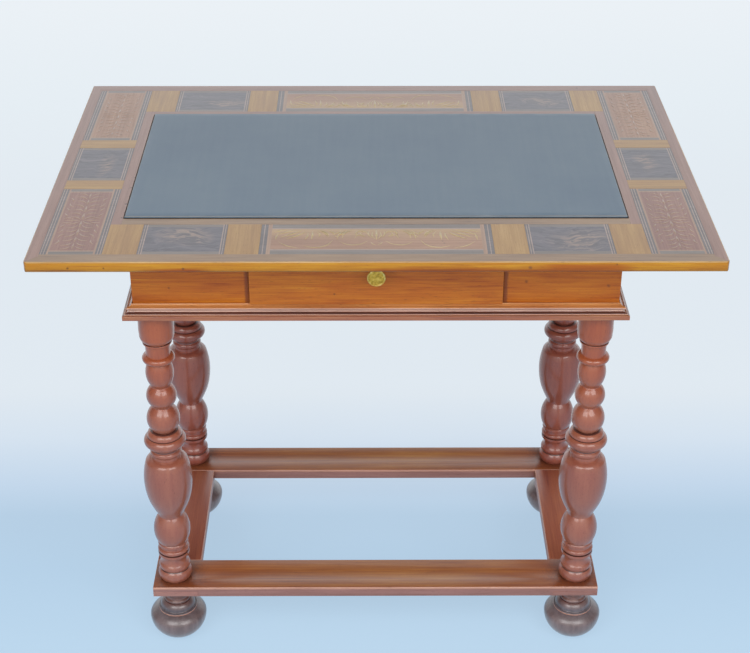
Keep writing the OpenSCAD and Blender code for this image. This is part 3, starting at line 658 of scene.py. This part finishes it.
# The drawer front's eased edge is painted paler: wear and a painted highlight.
eased("drawer_front", frieze_x, 1.6, arris_worn_and_lit, "drawer")
for nodes, pine, ease, body in (
        (("drawer_side_left", "drawer_side_right"), pine_y, 0.4, "drawer"),
        (("drawer_back", "drawer_bottom"), pine_x, 0.3, "drawer"),
        (("top_core", "drawer_bearer", "drawer_stops", "glue_blocks"), pine_x, 0.3, "frame"),
        (("runner_left", "runner_right", "kicker_left", "kicker_right"), pine_y, 0.4, "frame"),
        (["corner_post_" + corner for corner in CORNERS], pine_z, 0.5, "frame")):
    for node in nodes:
        eased(node, pine, ease, body=body)
eased("knob_nut", iron, 0.3, body="drawer")

# %% [markdown]
# ## Turning
# Legs, feet and the knob are turned on a lathe. Blender's lathe is the spin operator. The outline is drawn
# by pulling one point along with extrude, then spun through a full turn and welded.
# A turner reads an outline as a list of beads, coves and fillets: here a row is the drop to the next mark,
# the radius there, and how far the line between swells out (or in, below zero).

# %% Outlines for the lathe
ARC_STEP = math.radians(6)


def swelling(a, b, out):
    """Points after a up to b on the arc whose middle stands out from the chord by out, to its left."""
    if abs(out) < NEAR:
        return [b]
    chord = (b - a).length
    radius = (chord * chord / 4 + out * out) / (2 * abs(out))
    along = (b - a) / chord
    side = Vector((-along.y, along.x)) * math.copysign(1, out)
    half = math.asin(min(1.0, chord / 2 / radius))
    middle = (a + b) / 2 + side * (abs(out) - radius)
    steps = max(3, math.ceil(2 * half / ARC_STEP))
    angles = [-half + 2 * half * i / steps for i in range(1, steps + 1)]
    return [middle + radius * (math.sin(t) * along + math.cos(t) * side) for t in angles]


def outline(start, rows):
    """The (radius, height) points of a turned form from start downwards."""
    points = [Vector(start)]
    for drop, radius, swell in rows:
        below = Vector((radius, points[-1].y - drop))
        points += swelling(points[-1], below, swell)
    return points


def turned(name, points, material, base, steps=96, axis=Vector((0, 0, 1))):
    """Spins points of (radius, distance along axis) round the axis through base, all in mm.

    The seam and the poles are then welded, and all faces turned outwards.
    """
    deselect()
    places = [base + Vector((p.x, 0, 0)) + axis * p.y for p in points]
    bpy.ops.mesh.primitive_plane_add(size=1 * MM, location=(0, 0, 0))
    piece = bpy.context.object
    piece.name = name
    piece.data.name = name
    piece.data.materials.append(material)
    bpy.ops.object.mode_set(mode="EDIT")
    bpy.ops.mesh.select_mode(type="VERT")
    bpy.ops.mesh.select_all(action="SELECT")
    bpy.ops.mesh.merge(type="CENTER")
    bpy.ops.transform.translate(value=places[0] * MM)
    for here, there in zip(places, places[1:]):
        bpy.ops.mesh.extrude_vertices_move(TRANSFORM_OT_translate={"value": (there - here) * MM})
    bpy.ops.mesh.select_all(action="SELECT")
    bpy.ops.mesh.spin(steps=steps, angle=2 * math.pi, center=base * MM, axis=axis)
    bpy.ops.mesh.select_all(action="SELECT")
    bpy.ops.mesh.remove_doubles(threshold=WELD)
    bpy.ops.mesh.normals_make_consistent(inside=False)
    end_edit()
    smooth(piece, 28)
    return piece


def copy_to(piece, name, move):
    """A copy of piece with its own mesh, moved by move (mm) inside the mesh."""
    twin = twin_of(piece, name)
    edit(twin)
    bpy.ops.transform.translate(value=Vector(move) * MM)
    end_edit()
    return twin


# %% Old polish and painted shade in the hollows
QUIRK_REACH, QUIRK_DEPTH, QUIRK_HALF = 3.0, 0.7, 0.6


def quirks(points):
    """Heights at which an outline is narrowest within QUIRK_REACH, with a wider place above and below."""
    heights = []
    for p in points:
        above = [q.x for q in points if 0 < q.y - p.y < QUIRK_REACH]
        below = [q.x for q in points if 0 < p.y - q.y < QUIRK_REACH]
        if above and below and p.x <= min(above + below) + 0.05:
            if min(max(above), max(below)) > p.x + QUIRK_DEPTH:
                heights.append(p.y)
    return heights


def darken_quirks(piece, points):
    """Paints the narrow hollows of a turned piece darker: old polish, and painted shade."""
    heights = quirks(points)
    paint(piece, quirk_shade, lambda centre, normal: any(abs(centre.z - h) < QUIRK_HALF for h in heights))
    print(piece.name, "quirks", [round(h, 1) for h in heights])


# %% The four legs
FRIEZE_BASE, STRETCHER_TOP = 615.5, 115.5
TENON_R, TENON_UP, TENON_DOWN = 12, 60, 40
LEG_TOP_R = 27.3
CUP_AND_NECK = [
    (2.5, 27.3, 0), (0.5, 26.1, 0), (27, 26.3, 0), (13, 25.9, 0.4), (10.5, 22.6, 1.2), (1, 20.2, 0),
    (1.4, 20.2, 0), (0.6, 21.7, 0), (2.2, 21.7, 0.3), (0.8, 19, 0), (20, 18.5, -0.3), (0.5, 20, 0),
    (10.5, 20.5, 4.2), (1.5, 16.5, 0)]
BALLS = [
    (40.5, 15.3, 5.4), (2.5, 15.3, -0.5), (34, 15.5, 7.7), (2.5, 15.5, -0.5), (42.5, 17, 9.15)]
COLLAR = [
    (9.2, 26.5, 3), (0.8, 25.2, 0), (0.5, 27, 0), (16, 28, 4.7), (3, 25, 0), (6, 21.5, -2),
    (0.5, 22.5, 0), (7.5, 22.5, 1.5), (1, 22, 0), (4, 22.3, 0), (2, 22.3, 0), (0.5, 23, 0)]
VASE = [
    (5.5, 32.4, 1.6), (29, 37.4, 0.9), (44, 32.2, 1.8), (29, 19.5, 0.6), (2, 19.5, 0), (50, 24, 6.95)]
BASE_RINGS = [
    (1, 22.3, 0), (1.5, 23.8, 0), (4.5, 23.8, 0.3), (1, 21.5, 0), (5, 21.7, 0), (8, 22.5, 2.8),
    (0.5, 22, 0), (0.5, 24.6, 0), (5, 24.6, 0.3), (1, 22, 0), (14.5, 21.9, -1.8), (1, 22.6, 0),
    (10.5, 22.9, 2), (1, 22.3, 0), (20.5, 22.5, 4.6)]
leg_outline = outline((LEG_TOP_R, FRIEZE_BASE), CUP_AND_NECK + BALLS + COLLAR + VASE + BASE_RINGS)
leg_outline = [
    Vector((0, FRIEZE_BASE + TENON_UP)), Vector((TENON_R, FRIEZE_BASE + TENON_UP)),
    Vector((TENON_R, FRIEZE_BASE)), *leg_outline, Vector((TENON_R, STRETCHER_TOP)),
    Vector((TENON_R, STRETCHER_TOP - TENON_DOWN)), Vector((0, STRETCHER_TOP - TENON_DOWN))]
leg = turned("turned_leg_front_left", leg_outline, turned_wood, Vector((-LEG_X, -LEG_Y, 0)))
darken_quirks(leg, leg_outline[3:-3])
print("leg outline points", len(leg_outline), "faces", len(leg.data.polygons))

# %% The four feet
FOOT_H, BUN_Z, BUN_R, FLAT_R = 98, 39.5, 45.5, 15
FOOT_TOP_R, SOCKET_GAP = 21.6, 0.1
FOOT_ROWS = [
    (13.5, 21, 0.5), (1.5, 19, 0), (7, 18.6, -0.8), (1, 19.8, 0), (4, 20.8, 0.8), (0.8, 20.4, 0),
    (10.5, 27.8, 2), (2.2, 28.6, -0.6), (0.4, 30, 0), (1.6, 30.9, 0.6), (1.2, 31.3, 0)]
QUARTER_STEPS = 14
foot_outline = outline((FOOT_TOP_R, FOOT_H), FOOT_ROWS)
step_r, step_z = foot_outline[-1]
upper_h = (step_z - BUN_Z) / math.sqrt(1 - (step_r / BUN_R) ** 2)
lower_h = BUN_Z / math.sqrt(1 - (FLAT_R / BUN_R) ** 2)
start_angle = math.acos(step_r / BUN_R)
end_angle = -math.acos(FLAT_R / BUN_R)
for i in range(1, 2 * QUARTER_STEPS + 1):
    t = start_angle + (end_angle - start_angle) * i / (2 * QUARTER_STEPS)
    height = upper_h if t > 0 else lower_h
    foot_outline.append(Vector((BUN_R * math.cos(t), BUN_Z + height * math.sin(t))))
foot_outline[-1] = Vector((FLAT_R, 0))
socket_z = STRETCHER_TOP - TENON_DOWN - SOCKET_GAP
foot_outline = [
    Vector((0, socket_z)), Vector((TENON_R + SOCKET_GAP, socket_z)), Vector((TENON_R + SOCKET_GAP, FOOT_H)),
    *foot_outline, Vector((0, 0))]
foot = turned("bun_foot_front_left", foot_outline, foot_wood, Vector((-LEG_X, -LEG_Y, 0)))
darken_quirks(foot, foot_outline[3:-1])
# A thin band at the foot's step is painted paler: a painted highlight on its edge.
paint(foot, rail_edge_worn_and_lit, lambda centre, normal: step_z < centre.z < step_z + FOOT_ROWS[-1][0])
print("foot outline points", len(foot_outline))

# %% Copies for the other corners
for x_side, y_side, corner in ((2, 0, "front_right"), (0, 2, "back_left"), (2, 2, "back_right")):
    move = (x_side * LEG_X, y_side * LEG_Y, 0)
    dress(copy_to(leg, "turned_leg_" + corner, move), "leg_" + corner, "frame")
    dress(copy_to(foot, "bun_foot_" + corner, move), "foot_" + corner, "frame")
dress(leg, "leg_front_left", "frame")
dress(foot, "foot_front_left", "frame")

# %% The knob
FRONT_FACE_Y, KNOB_Z, KNOB_LEN = -196.5, 695.25, 27
SHANK_R, KNOB_DISH_R = 3, 10.8
knob_lo, knob_hi = (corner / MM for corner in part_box("knob"))
shank_end = FRONT_FACE_Y - knob_hi.y
print("knob box", [round(v, 2) for v in knob_lo], [round(v, 2) for v in knob_hi])
KNOB_ROWS = [
    (KNOB_DISH_R, 26.4, 0), (11.4, 27, 0.1), (12.6, 27, 0), (13.2, 26.2, 0.1), (13.2, 24.6, 0),
    (12.2, 22.5, 0.3), (7, 14, 0.6), (4.6, 8, -0.6), (5.5, 3.2, -0.6), (8, 2.4, 0), (9.5, 1.2, 0.2),
    (9.5, 0, 0)]
knob_outline = [Vector((0, KNOB_LEN - 0.6))]
for radius, distance, swell in KNOB_ROWS:
    knob_outline += swelling(knob_outline[-1], Vector((radius, distance)), swell)
knob_outline += [Vector((SHANK_R, 0)), Vector((SHANK_R, shank_end)), Vector((0, shank_end))]
knob = turned("brass_knob", knob_outline, brass, Vector((0, FRONT_FACE_Y, KNOB_Z)), 64, Vector((0, -1, 0)))
knob_face_y = FRONT_FACE_Y - KNOB_LEN + 1
paint(knob, tarnish, lambda centre, normal: centre.y < knob_face_y and normal.y < -0.9
      and math.hypot(centre.x, centre.z - KNOB_Z) < KNOB_DISH_R)
dress(knob, "knob", "drawer")

# %% [markdown]
# ## Slate slab
# The slab is split from the rock, sawn square and rubbed smooth. Its upper edges are worn round and
# a little uneven. A box is cut across many times with bisect, so that its edges have enough points to wear.

# %% Slate slab
slate_lo, slate_hi = (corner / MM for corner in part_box("slate_slab"))
ARRIS, CUT_EVERY = 1.0, 11.0
slab = box("slate_slab_worn", slate_hi - slate_lo, (slate_hi + slate_lo) / 2, slate, slate_edge)
for axis in (0, 1):
    count = int((slate_hi[axis] - slate_lo[axis]) / CUT_EVERY)
    for i in range(1, count):
        cut((slate_lo + (slate_hi - slate_lo) * i / count) * MM, axis)


def on_upper_rim(a, b):
    high = min(a.z, b.z) > slate_hi.z - NEAR
    ends = (abs(a.x - b.x) < NEAR and min(abs(a.x - slate_lo.x), abs(a.x - slate_hi.x)) < NEAR)
    sides = (abs(a.y - b.y) < NEAR and min(abs(a.y - slate_lo.y), abs(a.y - slate_hi.y)) < NEAR)
    return high and (ends or sides)


select_edges(slab, on_upper_rim)
bpy.ops.mesh.bevel(offset=ARRIS * MM, segments=3, affect="EDGES", material=1)
cage = bmesh.from_edit_mesh(slab.data)
bpy.ops.mesh.select_mode(type="VERT")
bpy.ops.mesh.select_all(action="DESELECT")
for vertex in cage.verts:
    x, y, z = vertex.co / MM
    inside = slate_lo.x + NEAR < x < slate_hi.x - NEAR and slate_lo.y + NEAR < y < slate_hi.y - NEAR
    vertex.select = inside and slate_hi.z - ARRIS + NEAR < z < slate_hi.z - NEAR
bmesh.update_edit_mesh(slab.data)
bpy.ops.transform.vertex_random(offset=0.2 * MM, seed=3)
bpy.ops.mesh.select_mode(type="FACE")
end_edit()
smooth(slab, 40)
edit(slab)
cut((0, 0, TABLE_TOP * MM), 2)
end_edit()
# The slate's sides below the ground are painted near black: painted shade in the gap.
paint(slab, gap_shade, lambda centre, normal: centre.z < TABLE_TOP and abs(normal.z) < 0.5)
dress(slab, "slate_slab", "frame")
core = bpy.data.objects["top_core_eased"]
core_low, core_high = (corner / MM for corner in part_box("top_core"))


def in_slate_bed(centre, normal):
    """The walls of the opening in the core board: well inside its sides, and below its upper face."""
    inside = abs(centre.x) < core_high.x - 5 and abs(centre.y) < core_high.y - 5
    return inside and core_low.z + 1 < centre.z < core_high.z - 0.2


# The walls of the slate's bed get the same painted shade.
paint(core, gap_shade, in_slate_bed)
print("slate faces", len(slab.data.polygons))

# %% [markdown]
# ## Veneers of the top
# The ground of the top is made of veneer leaves 1.5 mm thick, laid round the slate and between the panels
# with the grain turned by a quarter from strip to block. Each leaf is a box with its upper edges broken.

# %% Leaves of the ground
VENEER_T, LEAF_GAP, LEAF_EDGE = 1.5, 0.04, 0.12
BED_X, BED_FRONT, BED_BACK = 354.6, -185.0, 189.6
GROUND_X, GROUND_Y = 456.0, 300.0
SIDE_OUT, SIDE_IN = 453.6, 369.4
END_OUT, END_IN = 292.1, 202.9
CORNER_IN, BURR_HALF = 87.9, 58.6
BURR_OUT, BURR_IN, LONG_HALF = 322.85, 205.65, 159.1


def leaf(x0, x1, y0, y1, material):
    """A flat box of veneer between two corners (mm), its upper edges broken."""
    size = Vector((x1 - x0 - 2 * LEAF_GAP, y1 - y0 - 2 * LEAF_GAP, VENEER_T))
    piece = box("leaf", size, Vector((x0 + x1, y0 + y1, 2 * TABLE_TOP - VENEER_T)) / 2, material)
    top = TABLE_TOP - NEAR
    select_edges(piece, lambda a, b: a.z > top and b.z > top)
    bpy.ops.mesh.bevel(offset=LEAF_EDGE * MM, segments=1, affect="EDGES")
    bpy.ops.mesh.select_mode(type="FACE")
    end_edit()
    return piece


leaves = []
for s in (-1, 1):
    def across(a, b):
        return sorted((s * a, s * b))
    leaves.append(leaf(*across(SIDE_OUT, GROUND_X), -GROUND_Y, GROUND_Y, rose_y))
    leaves.append(leaf(-SIDE_OUT, SIDE_OUT, *across(END_OUT, GROUND_Y), front_sheen if s < 0 else rose_x))
    leaves.append(leaf(*across(BED_X, SIDE_IN), -END_IN, END_IN, rose_y))
    for t in (-1, 1):
        ends = sorted((t * END_IN, t * END_OUT))
        leaves.append(leaf(*across(SIDE_IN, SIDE_OUT), *sorted((t * BURR_HALF, t * CORNER_IN)), honey_x))
        leaves.append(leaf(*across(BURR_OUT, SIDE_IN), *ends, honey_y))
        leaves.append(leaf(*across(LONG_HALF, BURR_IN), *ends, honey_y))
leaves.append(leaf(-BED_X, BED_X, -END_IN, BED_FRONT, front_sheen))
leaves.append(leaf(-BED_X, BED_X, BED_BACK, END_IN, rose_x))
deselect()
for piece in leaves:
    piece.select_set(True)
bpy.context.view_layer.objects.active = leaves[0]
bpy.ops.object.join()
ground = bpy.context.object
ground.name = "ground_veneer_leaves"
# The leaves' edges along the slate get the same painted shade.
paint(ground, gap_shade, lambda centre, normal: abs(normal.z) < 0.3 and (
    abs(centre.x) < BED_X + 0.5 and BED_FRONT - 0.5 < centre.y < BED_BACK + 0.5))
dress(ground, "top_veneer", "frame")
print("ground leaves", len(leaves), "size", [round(v / MM, 1) for v in ground.dimensions])

# %% [markdown]
# ## Marquetry panels
# Each panel is a field with bands of contrasting wood glued round it before it is let into the ground.
# One box per panel is cut with bisect along the joints of its bands, and each strip that results gets
# its own wood by its distance from the panel's edge.

# %% Banded panels
SCROLL_PROUD = 0.16


def banded(node, across_bands, along_bands, field, name):
    """A panel of node's size. Bands are (width, wood) from the edge inwards, for the x and y sides."""
    low, high = (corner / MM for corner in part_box(node))
    high.z -= SCROLL_PROUD
    piece = box(name, high - low, (high + low) / 2)
    finishes = [field]
    steps = []
    for axis, bands in ((0, across_bands), (1, along_bands)):
        edge = 0.0
        for width, finish in bands:
            steps.append((axis, edge, edge + width, finish))
            if finish not in finishes:
                finishes.append(finish)
            edge += width
            for start, way in ((low, 1), (high, -1)):
                place = start.copy()
                place[axis] += way * edge
                cut(place * MM, axis)
    for finish in finishes:
        piece.data.materials.append(finish)
    cage = bmesh.from_edit_mesh(piece.data)
    for face in cage.faces:
        middle = face.calc_center_median() / MM
        depth = [min(middle[a] - low[a], high[a] - middle[a]) for a in (0, 1)]
        for axis, near, far, finish in steps:
            if near <= depth[axis] < far:
                face.material_index = finishes.index(finish)
                break
    bmesh.update_edit_mesh(piece.data)
    end_edit()
    dress(piece, node, "frame")


CORNER_SIDES = [(1.4, dark_band), (1.2, light_band), (2.6, dark_band), (1.2, light_band), (2.8, dark_band),
                (2.6, faint_inlay)]
CORNER_ENDS = [(8.5, grey_band), (3, faint_inlay)]
LONG_ENDS = [(4.2, dark_band), (1.2, light_band), (4.2, dark_band), (5.5, faint_inlay)]
LONG_SIDES = [(11.5, grey_band), (3, light_band)]
BURR_SIDES = [(2, dark_band), (1, light_band), (2, dark_band), (1.5, light_band)]
BURR_ENDS = [(8, grey_band)]
for side in CORNERS:
    field = front_field if side.startswith("front") else field_y
    banded("corner_panel_" + side, CORNER_SIDES, CORNER_ENDS, field, "corner_marquetry_" + side)
for side in ("front", "back"):
    banded("long_panel_" + side, LONG_ENDS, LONG_SIDES, field_x, "long_marquetry_" + side)
BURRS = {
    "left": ((-408, -6), (14, 30), 20), "right": ((408, 4), (14, 30), -20),
    "front_left": ((-262, -238), (34, 24), 10), "front_right": ((280, -254), (46, 30), 0),
    "back_left": ((-245, 235), (34, 16), 15), "back_right": ((270, 250), (30, 14), -15)}
for i, (side, (flame_at, flame_size, turn)) in enumerate(BURRS.items()):
    leaf_wood = burr("burr_walnut_" + side, flame_at, flame_size, turn, i * 5.3)
    banded("burr_panel_" + side, BURR_SIDES, BURR_ENDS, leaf_wood, "burr_leaf_" + side)

# %% [markdown]
# ## Scrolls
# The long panels hold a symmetrical scroll pattern of pale wood, sawn out and let into the darker field:
# a palmette in the middle, arcs and acanthus leaves beside it, a drop, and a fan at each end. A stroke is
# a curve that runs through a few points and tapers towards both ends. Turned on its edge by a tilt of a
# quarter turn, the curve's own extrusion makes a flat ribbon, which Solidify then gives some thickness.
# The corner panels have rows of small leaves on a spine, mirrored both ways, in a wood close to the field.

# %% Scroll strokes
LONG_STROKES = [
    (2.6, [(0, 2), (0, 16), (0, 32)]), (1.6, [(2, 30), (6, 20), (5, 8)]), (1.6, [(7, 26), (11, 16), (10, 5)]),
    (1.8, [(12, 14), (16, 7), (23, 6), (28, 12), (26, 19)]), (1.5, [(16, 22), (22, 14), (18, 9)]),
    (1.5, [(30, 28), (25, 18), (17, 24)]), (1.8, [(34, 4), (44, 13), (47, 28)]),
    (1.8, [(40, 3), (50, 13), (54, 30)]), (2.4, [(57, 24), (47, 14), (37, 4)]),
    (1.8, [(60, 16), (52, 10), (48, 3)]), (2.2, [(57, 18), (60, 10), (66, 4)]),
    (2.2, [(65, 20), (69, 11), (76, 4)]), (1.8, [(80, 4), (71, 13), (66, 24)]),
    (1.6, [(82, 8), (78, 16), (79, 24)]), (2.4, [(88, 6), (88, 18), (89, 32)]),
    (1.8, [(94, 12), (95, 22), (98, 32)]), (2.6, [(98, 9), (109, 19), (124, 30)]),
    (2.4, [(103, 5), (116, 14), (131, 25)]), (2.2, [(110, 3), (124, 9), (137, 17)]),
    (2.0, [(122, 2), (133, 5), (141, 10)]), (1.8, [(135, 12), (137, 22), (138, 32)]),
    (1.4, [(60, 34), (68, 48), (84, 55), (100, 50)]), (1.4, [(105, 57), (122, 50), (134, 38)]),
    (1.2, [(12, 36), (24, 46), (40, 46), (50, 38)]), (1.2, [(1, 48), (5, 45), (8, 39)])]
CORNER_X, CORNER_Y, CORNER_FIELD = 411.5, 190.0, 59.0
CORNER_LEAVES = [
    (2.4, [(0, 3), (0, 12), (0, 24)]), (2.0, [(3, 2), (9, 8), (12, 17)]), (1.8, [(4, 12), (8, 19), (6, 26)]),
    (2.0, [(16, 3), (22, 9), (23, 19)]), (1.8, [(12, 22), (17, 24), (22, 27)]),
    (2.2, [(28, 2), (34, 8), (33, 17)]), (1.8, [(28, 22), (33, 23), (39, 27)]),
    (2.2, [(40, 3), (47, 8), (50, 17)]), (1.8, [(42, 17), (46, 22), (54, 25)]),
    (2.0, [(55, 2), (61, 8), (62, 17)]), (1.8, [(60, 22), (66, 22), (72, 26)]),
    (2.0, [(68, 3), (74, 8), (76, 18)]), (1.8, [(79, 3), (84, 8), (87, 16)])]
CORNER_SPINE = [(2.6, [(3, 0), (12, 0), (22, 0)]), (2.4, [(26, 0), (36, 0), (46, 0)]),
                (2.2, [(50, 0), (58, 0), (66, 0)]), (2.0, [(70, 0), (78, 0), (87, 0)])]
CORNER_STROKES = [
    (width, [(along, CORNER_FIELD / 2 + way * apart) for along, apart in points])
    for way in (-1, 1) for width, points in CORNER_LEAVES]
CORNER_STROKES += [
    (width, [(along, CORNER_FIELD / 2) for along, apart in points]) for width, points in CORNER_SPINE]
END_TAPER, BELLY, SCROLL_T, LAYER = 0.35, 1.5, 0.3, 0.003


def scrolls(name, strokes, place, material):
    """Flat strokes (width, points), mirrored across a middle line unless they start on it.

    place(along, across) gives x and y (mm). Where two strokes cross, the later one lies a LAYER lower.
    """
    deselect()
    curve = bpy.data.curves.new(name, "CURVE")
    curve.dimensions = "3D"
    curve.twist_mode = "Z_UP"
    curve.extrude = 0.5 * MM
    curve.resolution_u = 8
    for layer, (width, points) in enumerate(strokes, 1):
        height = TABLE_TOP - layer * LAYER
        for side in (-1, 1) if points[0][0] else (1,):
            stroke = curve.splines.new("BEZIER")
            stroke.bezier_points.add(len(points) - 1)
            for i, ((along, across), mark) in enumerate(zip(points, stroke.bezier_points)):
                mark.co = Vector((*place(side * along, across), height)) * MM
                mark.handle_left_type = "AUTO"
                mark.handle_right_type = "AUTO"
                mark.radius = width * (END_TAPER if i in (0, len(points) - 1) else BELLY)
                mark.tilt = math.pi / 2
    piece = bpy.data.objects.new(name, curve)
    bpy.context.collection.objects.link(piece)
    work_on(piece)
    bpy.ops.object.convert(target="MESH")
    piece = bpy.context.object
    edit(piece)
    select_faces(piece, lambda centre, normal: normal.z < 0)
    bpy.ops.mesh.flip_normals()
    end_edit()
    thick = piece.modifiers.new("thickness", "SOLIDIFY")
    thick.thickness = SCROLL_T * MM
    bpy.ops.object.modifier_apply(modifier="thickness")
    piece.data.materials.clear()
    piece.data.materials.append(material)
    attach(piece, "frame")
    return piece


FIELD_EDGE_Y = 217.5
for s, side in ((-1, "front"), (1, "back")):
    strip = scrolls("long_scrolls_" + side, LONG_STROKES, lambda along, across: (
        along, s * (FIELD_EDGE_Y + across)), inlay_wood)
    print(strip.name, len(strip.data.polygons), [round(v / MM, 1) for v in strip.dimensions])
    for t, end in ((-1, "left"), (1, "right")):
        scrolls("corner_scrolls_%s_%s" % (side, end), CORNER_STROKES, lambda along, across: (
            t * (CORNER_X + CORNER_FIELD / 2 - across), s * CORNER_Y + along), faint_inlay)

# %% [markdown]
# ## Light and floor
# The photograph was taken in a pale studio with two large soft lights beside the camera: each ball of the
# legs mirrors them as two panes. The floor is pale blue close by and fades to white behind the table.

# %% Floor
FLOOR_SIZE, NEAR_EDGE, FAR_EDGE = 40, -0.2, 2.95
deselect()
bpy.ops.mesh.primitive_plane_add(size=FLOOR_SIZE, location=(0, 0, 0))
floor = bpy.context.object
floor.name = "studio_floor"
paper, tree, shader, place = new_material("studio_paper")
depth = add_node(tree, "SeparateXYZ", {0: place}).outputs["Y"]
tone = ramp(tree, ranged(tree, depth, NEAR_EDGE, FAR_EDGE), [
    (0.0, "#BFDAF0"), (0.06, "#BAD5EC"), (0.11, "#BBD4EA"), (0.14, "#C8DCF0"), (0.19, "#DAE7F4"),
    (0.24, "#E2EBF3"), (0.54, "#E4ECF3"), (0.75, "#E8F0F6"), (1.0, "#EDF3F8")])
feed(tree, shader, {"Base Color": tone, "Roughness": 0.9, "Specular IOR Level": 0.0})
glow = add_node(tree, "Emission", {"Color": tone, "Strength": 1.0})
even = ranged(tree, depth, 0.1, 0.6, 0.78, 0.96)
rays = add_node(tree, "LightPath").outputs
seen_or_mirrored = calc(tree, "MAXIMUM", rays["Is Camera Ray"], rays["Is Glossy Ray"])
shown = calc(tree, "MAXIMUM", seen_or_mirrored, rays["Is Transmission Ray"])
evened = add_node(tree, "MixShader", {0: calc(tree, "MULTIPLY", even, shown), 1: shader, 2: glow})
below = add_node(tree, "NewGeometry").outputs["Backfacing"]
seen = add_node(tree, "MixShader", {0: below, 1: evened, 2: add_node(tree, "BsdfTransparent")})
feed(tree, tree.nodes["surface"], {"Surface": seen})
floor.data.materials.append(paper)

# %% Lights
world = bpy.data.worlds.new("pale_studio")
bpy.context.scene.world = world
world.use_nodes = True
tree = world.node_tree
sky = tree.nodes["Background"]
way = add_node(tree, "SeparateXYZ", {0: add_node(tree, "TexCoord").outputs["Generated"]}).outputs
low_wall = ranged(tree, way["Z"], 0.4, 0.6, 1.45, 0.4)
behind = ranged(tree, way["Y"], 0.35, 0.8, 0.0, low_wall)
overhead = ranged(tree, way["Z"], 0.3, 0.95, 0.0, 0.05)
low_front = ranged(tree, way["Z"], 0.2, 0.6, 0.95, 0.35)
in_front = ranged(tree, way["Y"], -0.1, -0.8, 0.0, low_front)
filled = calc(tree, "MAXIMUM", calc(tree, "MAXIMUM", behind, overhead), in_front)
EVEN_FILL = 0.15
feed(tree, sky, {"Color": linear("#F2F6FA"), "Strength": calc(tree, "ADD", filled, EVEN_FILL)})
TABLE_MIDDLE = Vector((0, 0, 0.5))
LAMP_X, LAMP_Y, LAMP_Z = 1.32, -2.6, 2.62
BOX_WIDTH, BOX_HEIGHT, BOX_POWER = 2.2, 2.0, 61
for name, side in (("softbox_left", -1), ("softbox_right", 1)):
    light = bpy.data.lights.new(name, "AREA")
    light.shape = "RECTANGLE"
    light.size, light.size_y, light.energy = BOX_WIDTH, BOX_HEIGHT, BOX_POWER
    lamp = bpy.data.objects.new(name, light)
    lamp.location = (side * LAMP_X, LAMP_Y, LAMP_Z)
    lamp.rotation_euler = (TABLE_MIDDLE - lamp.location).to_track_quat("-Z", "Y").to_euler()
    bpy.context.collection.objects.link(lamp)
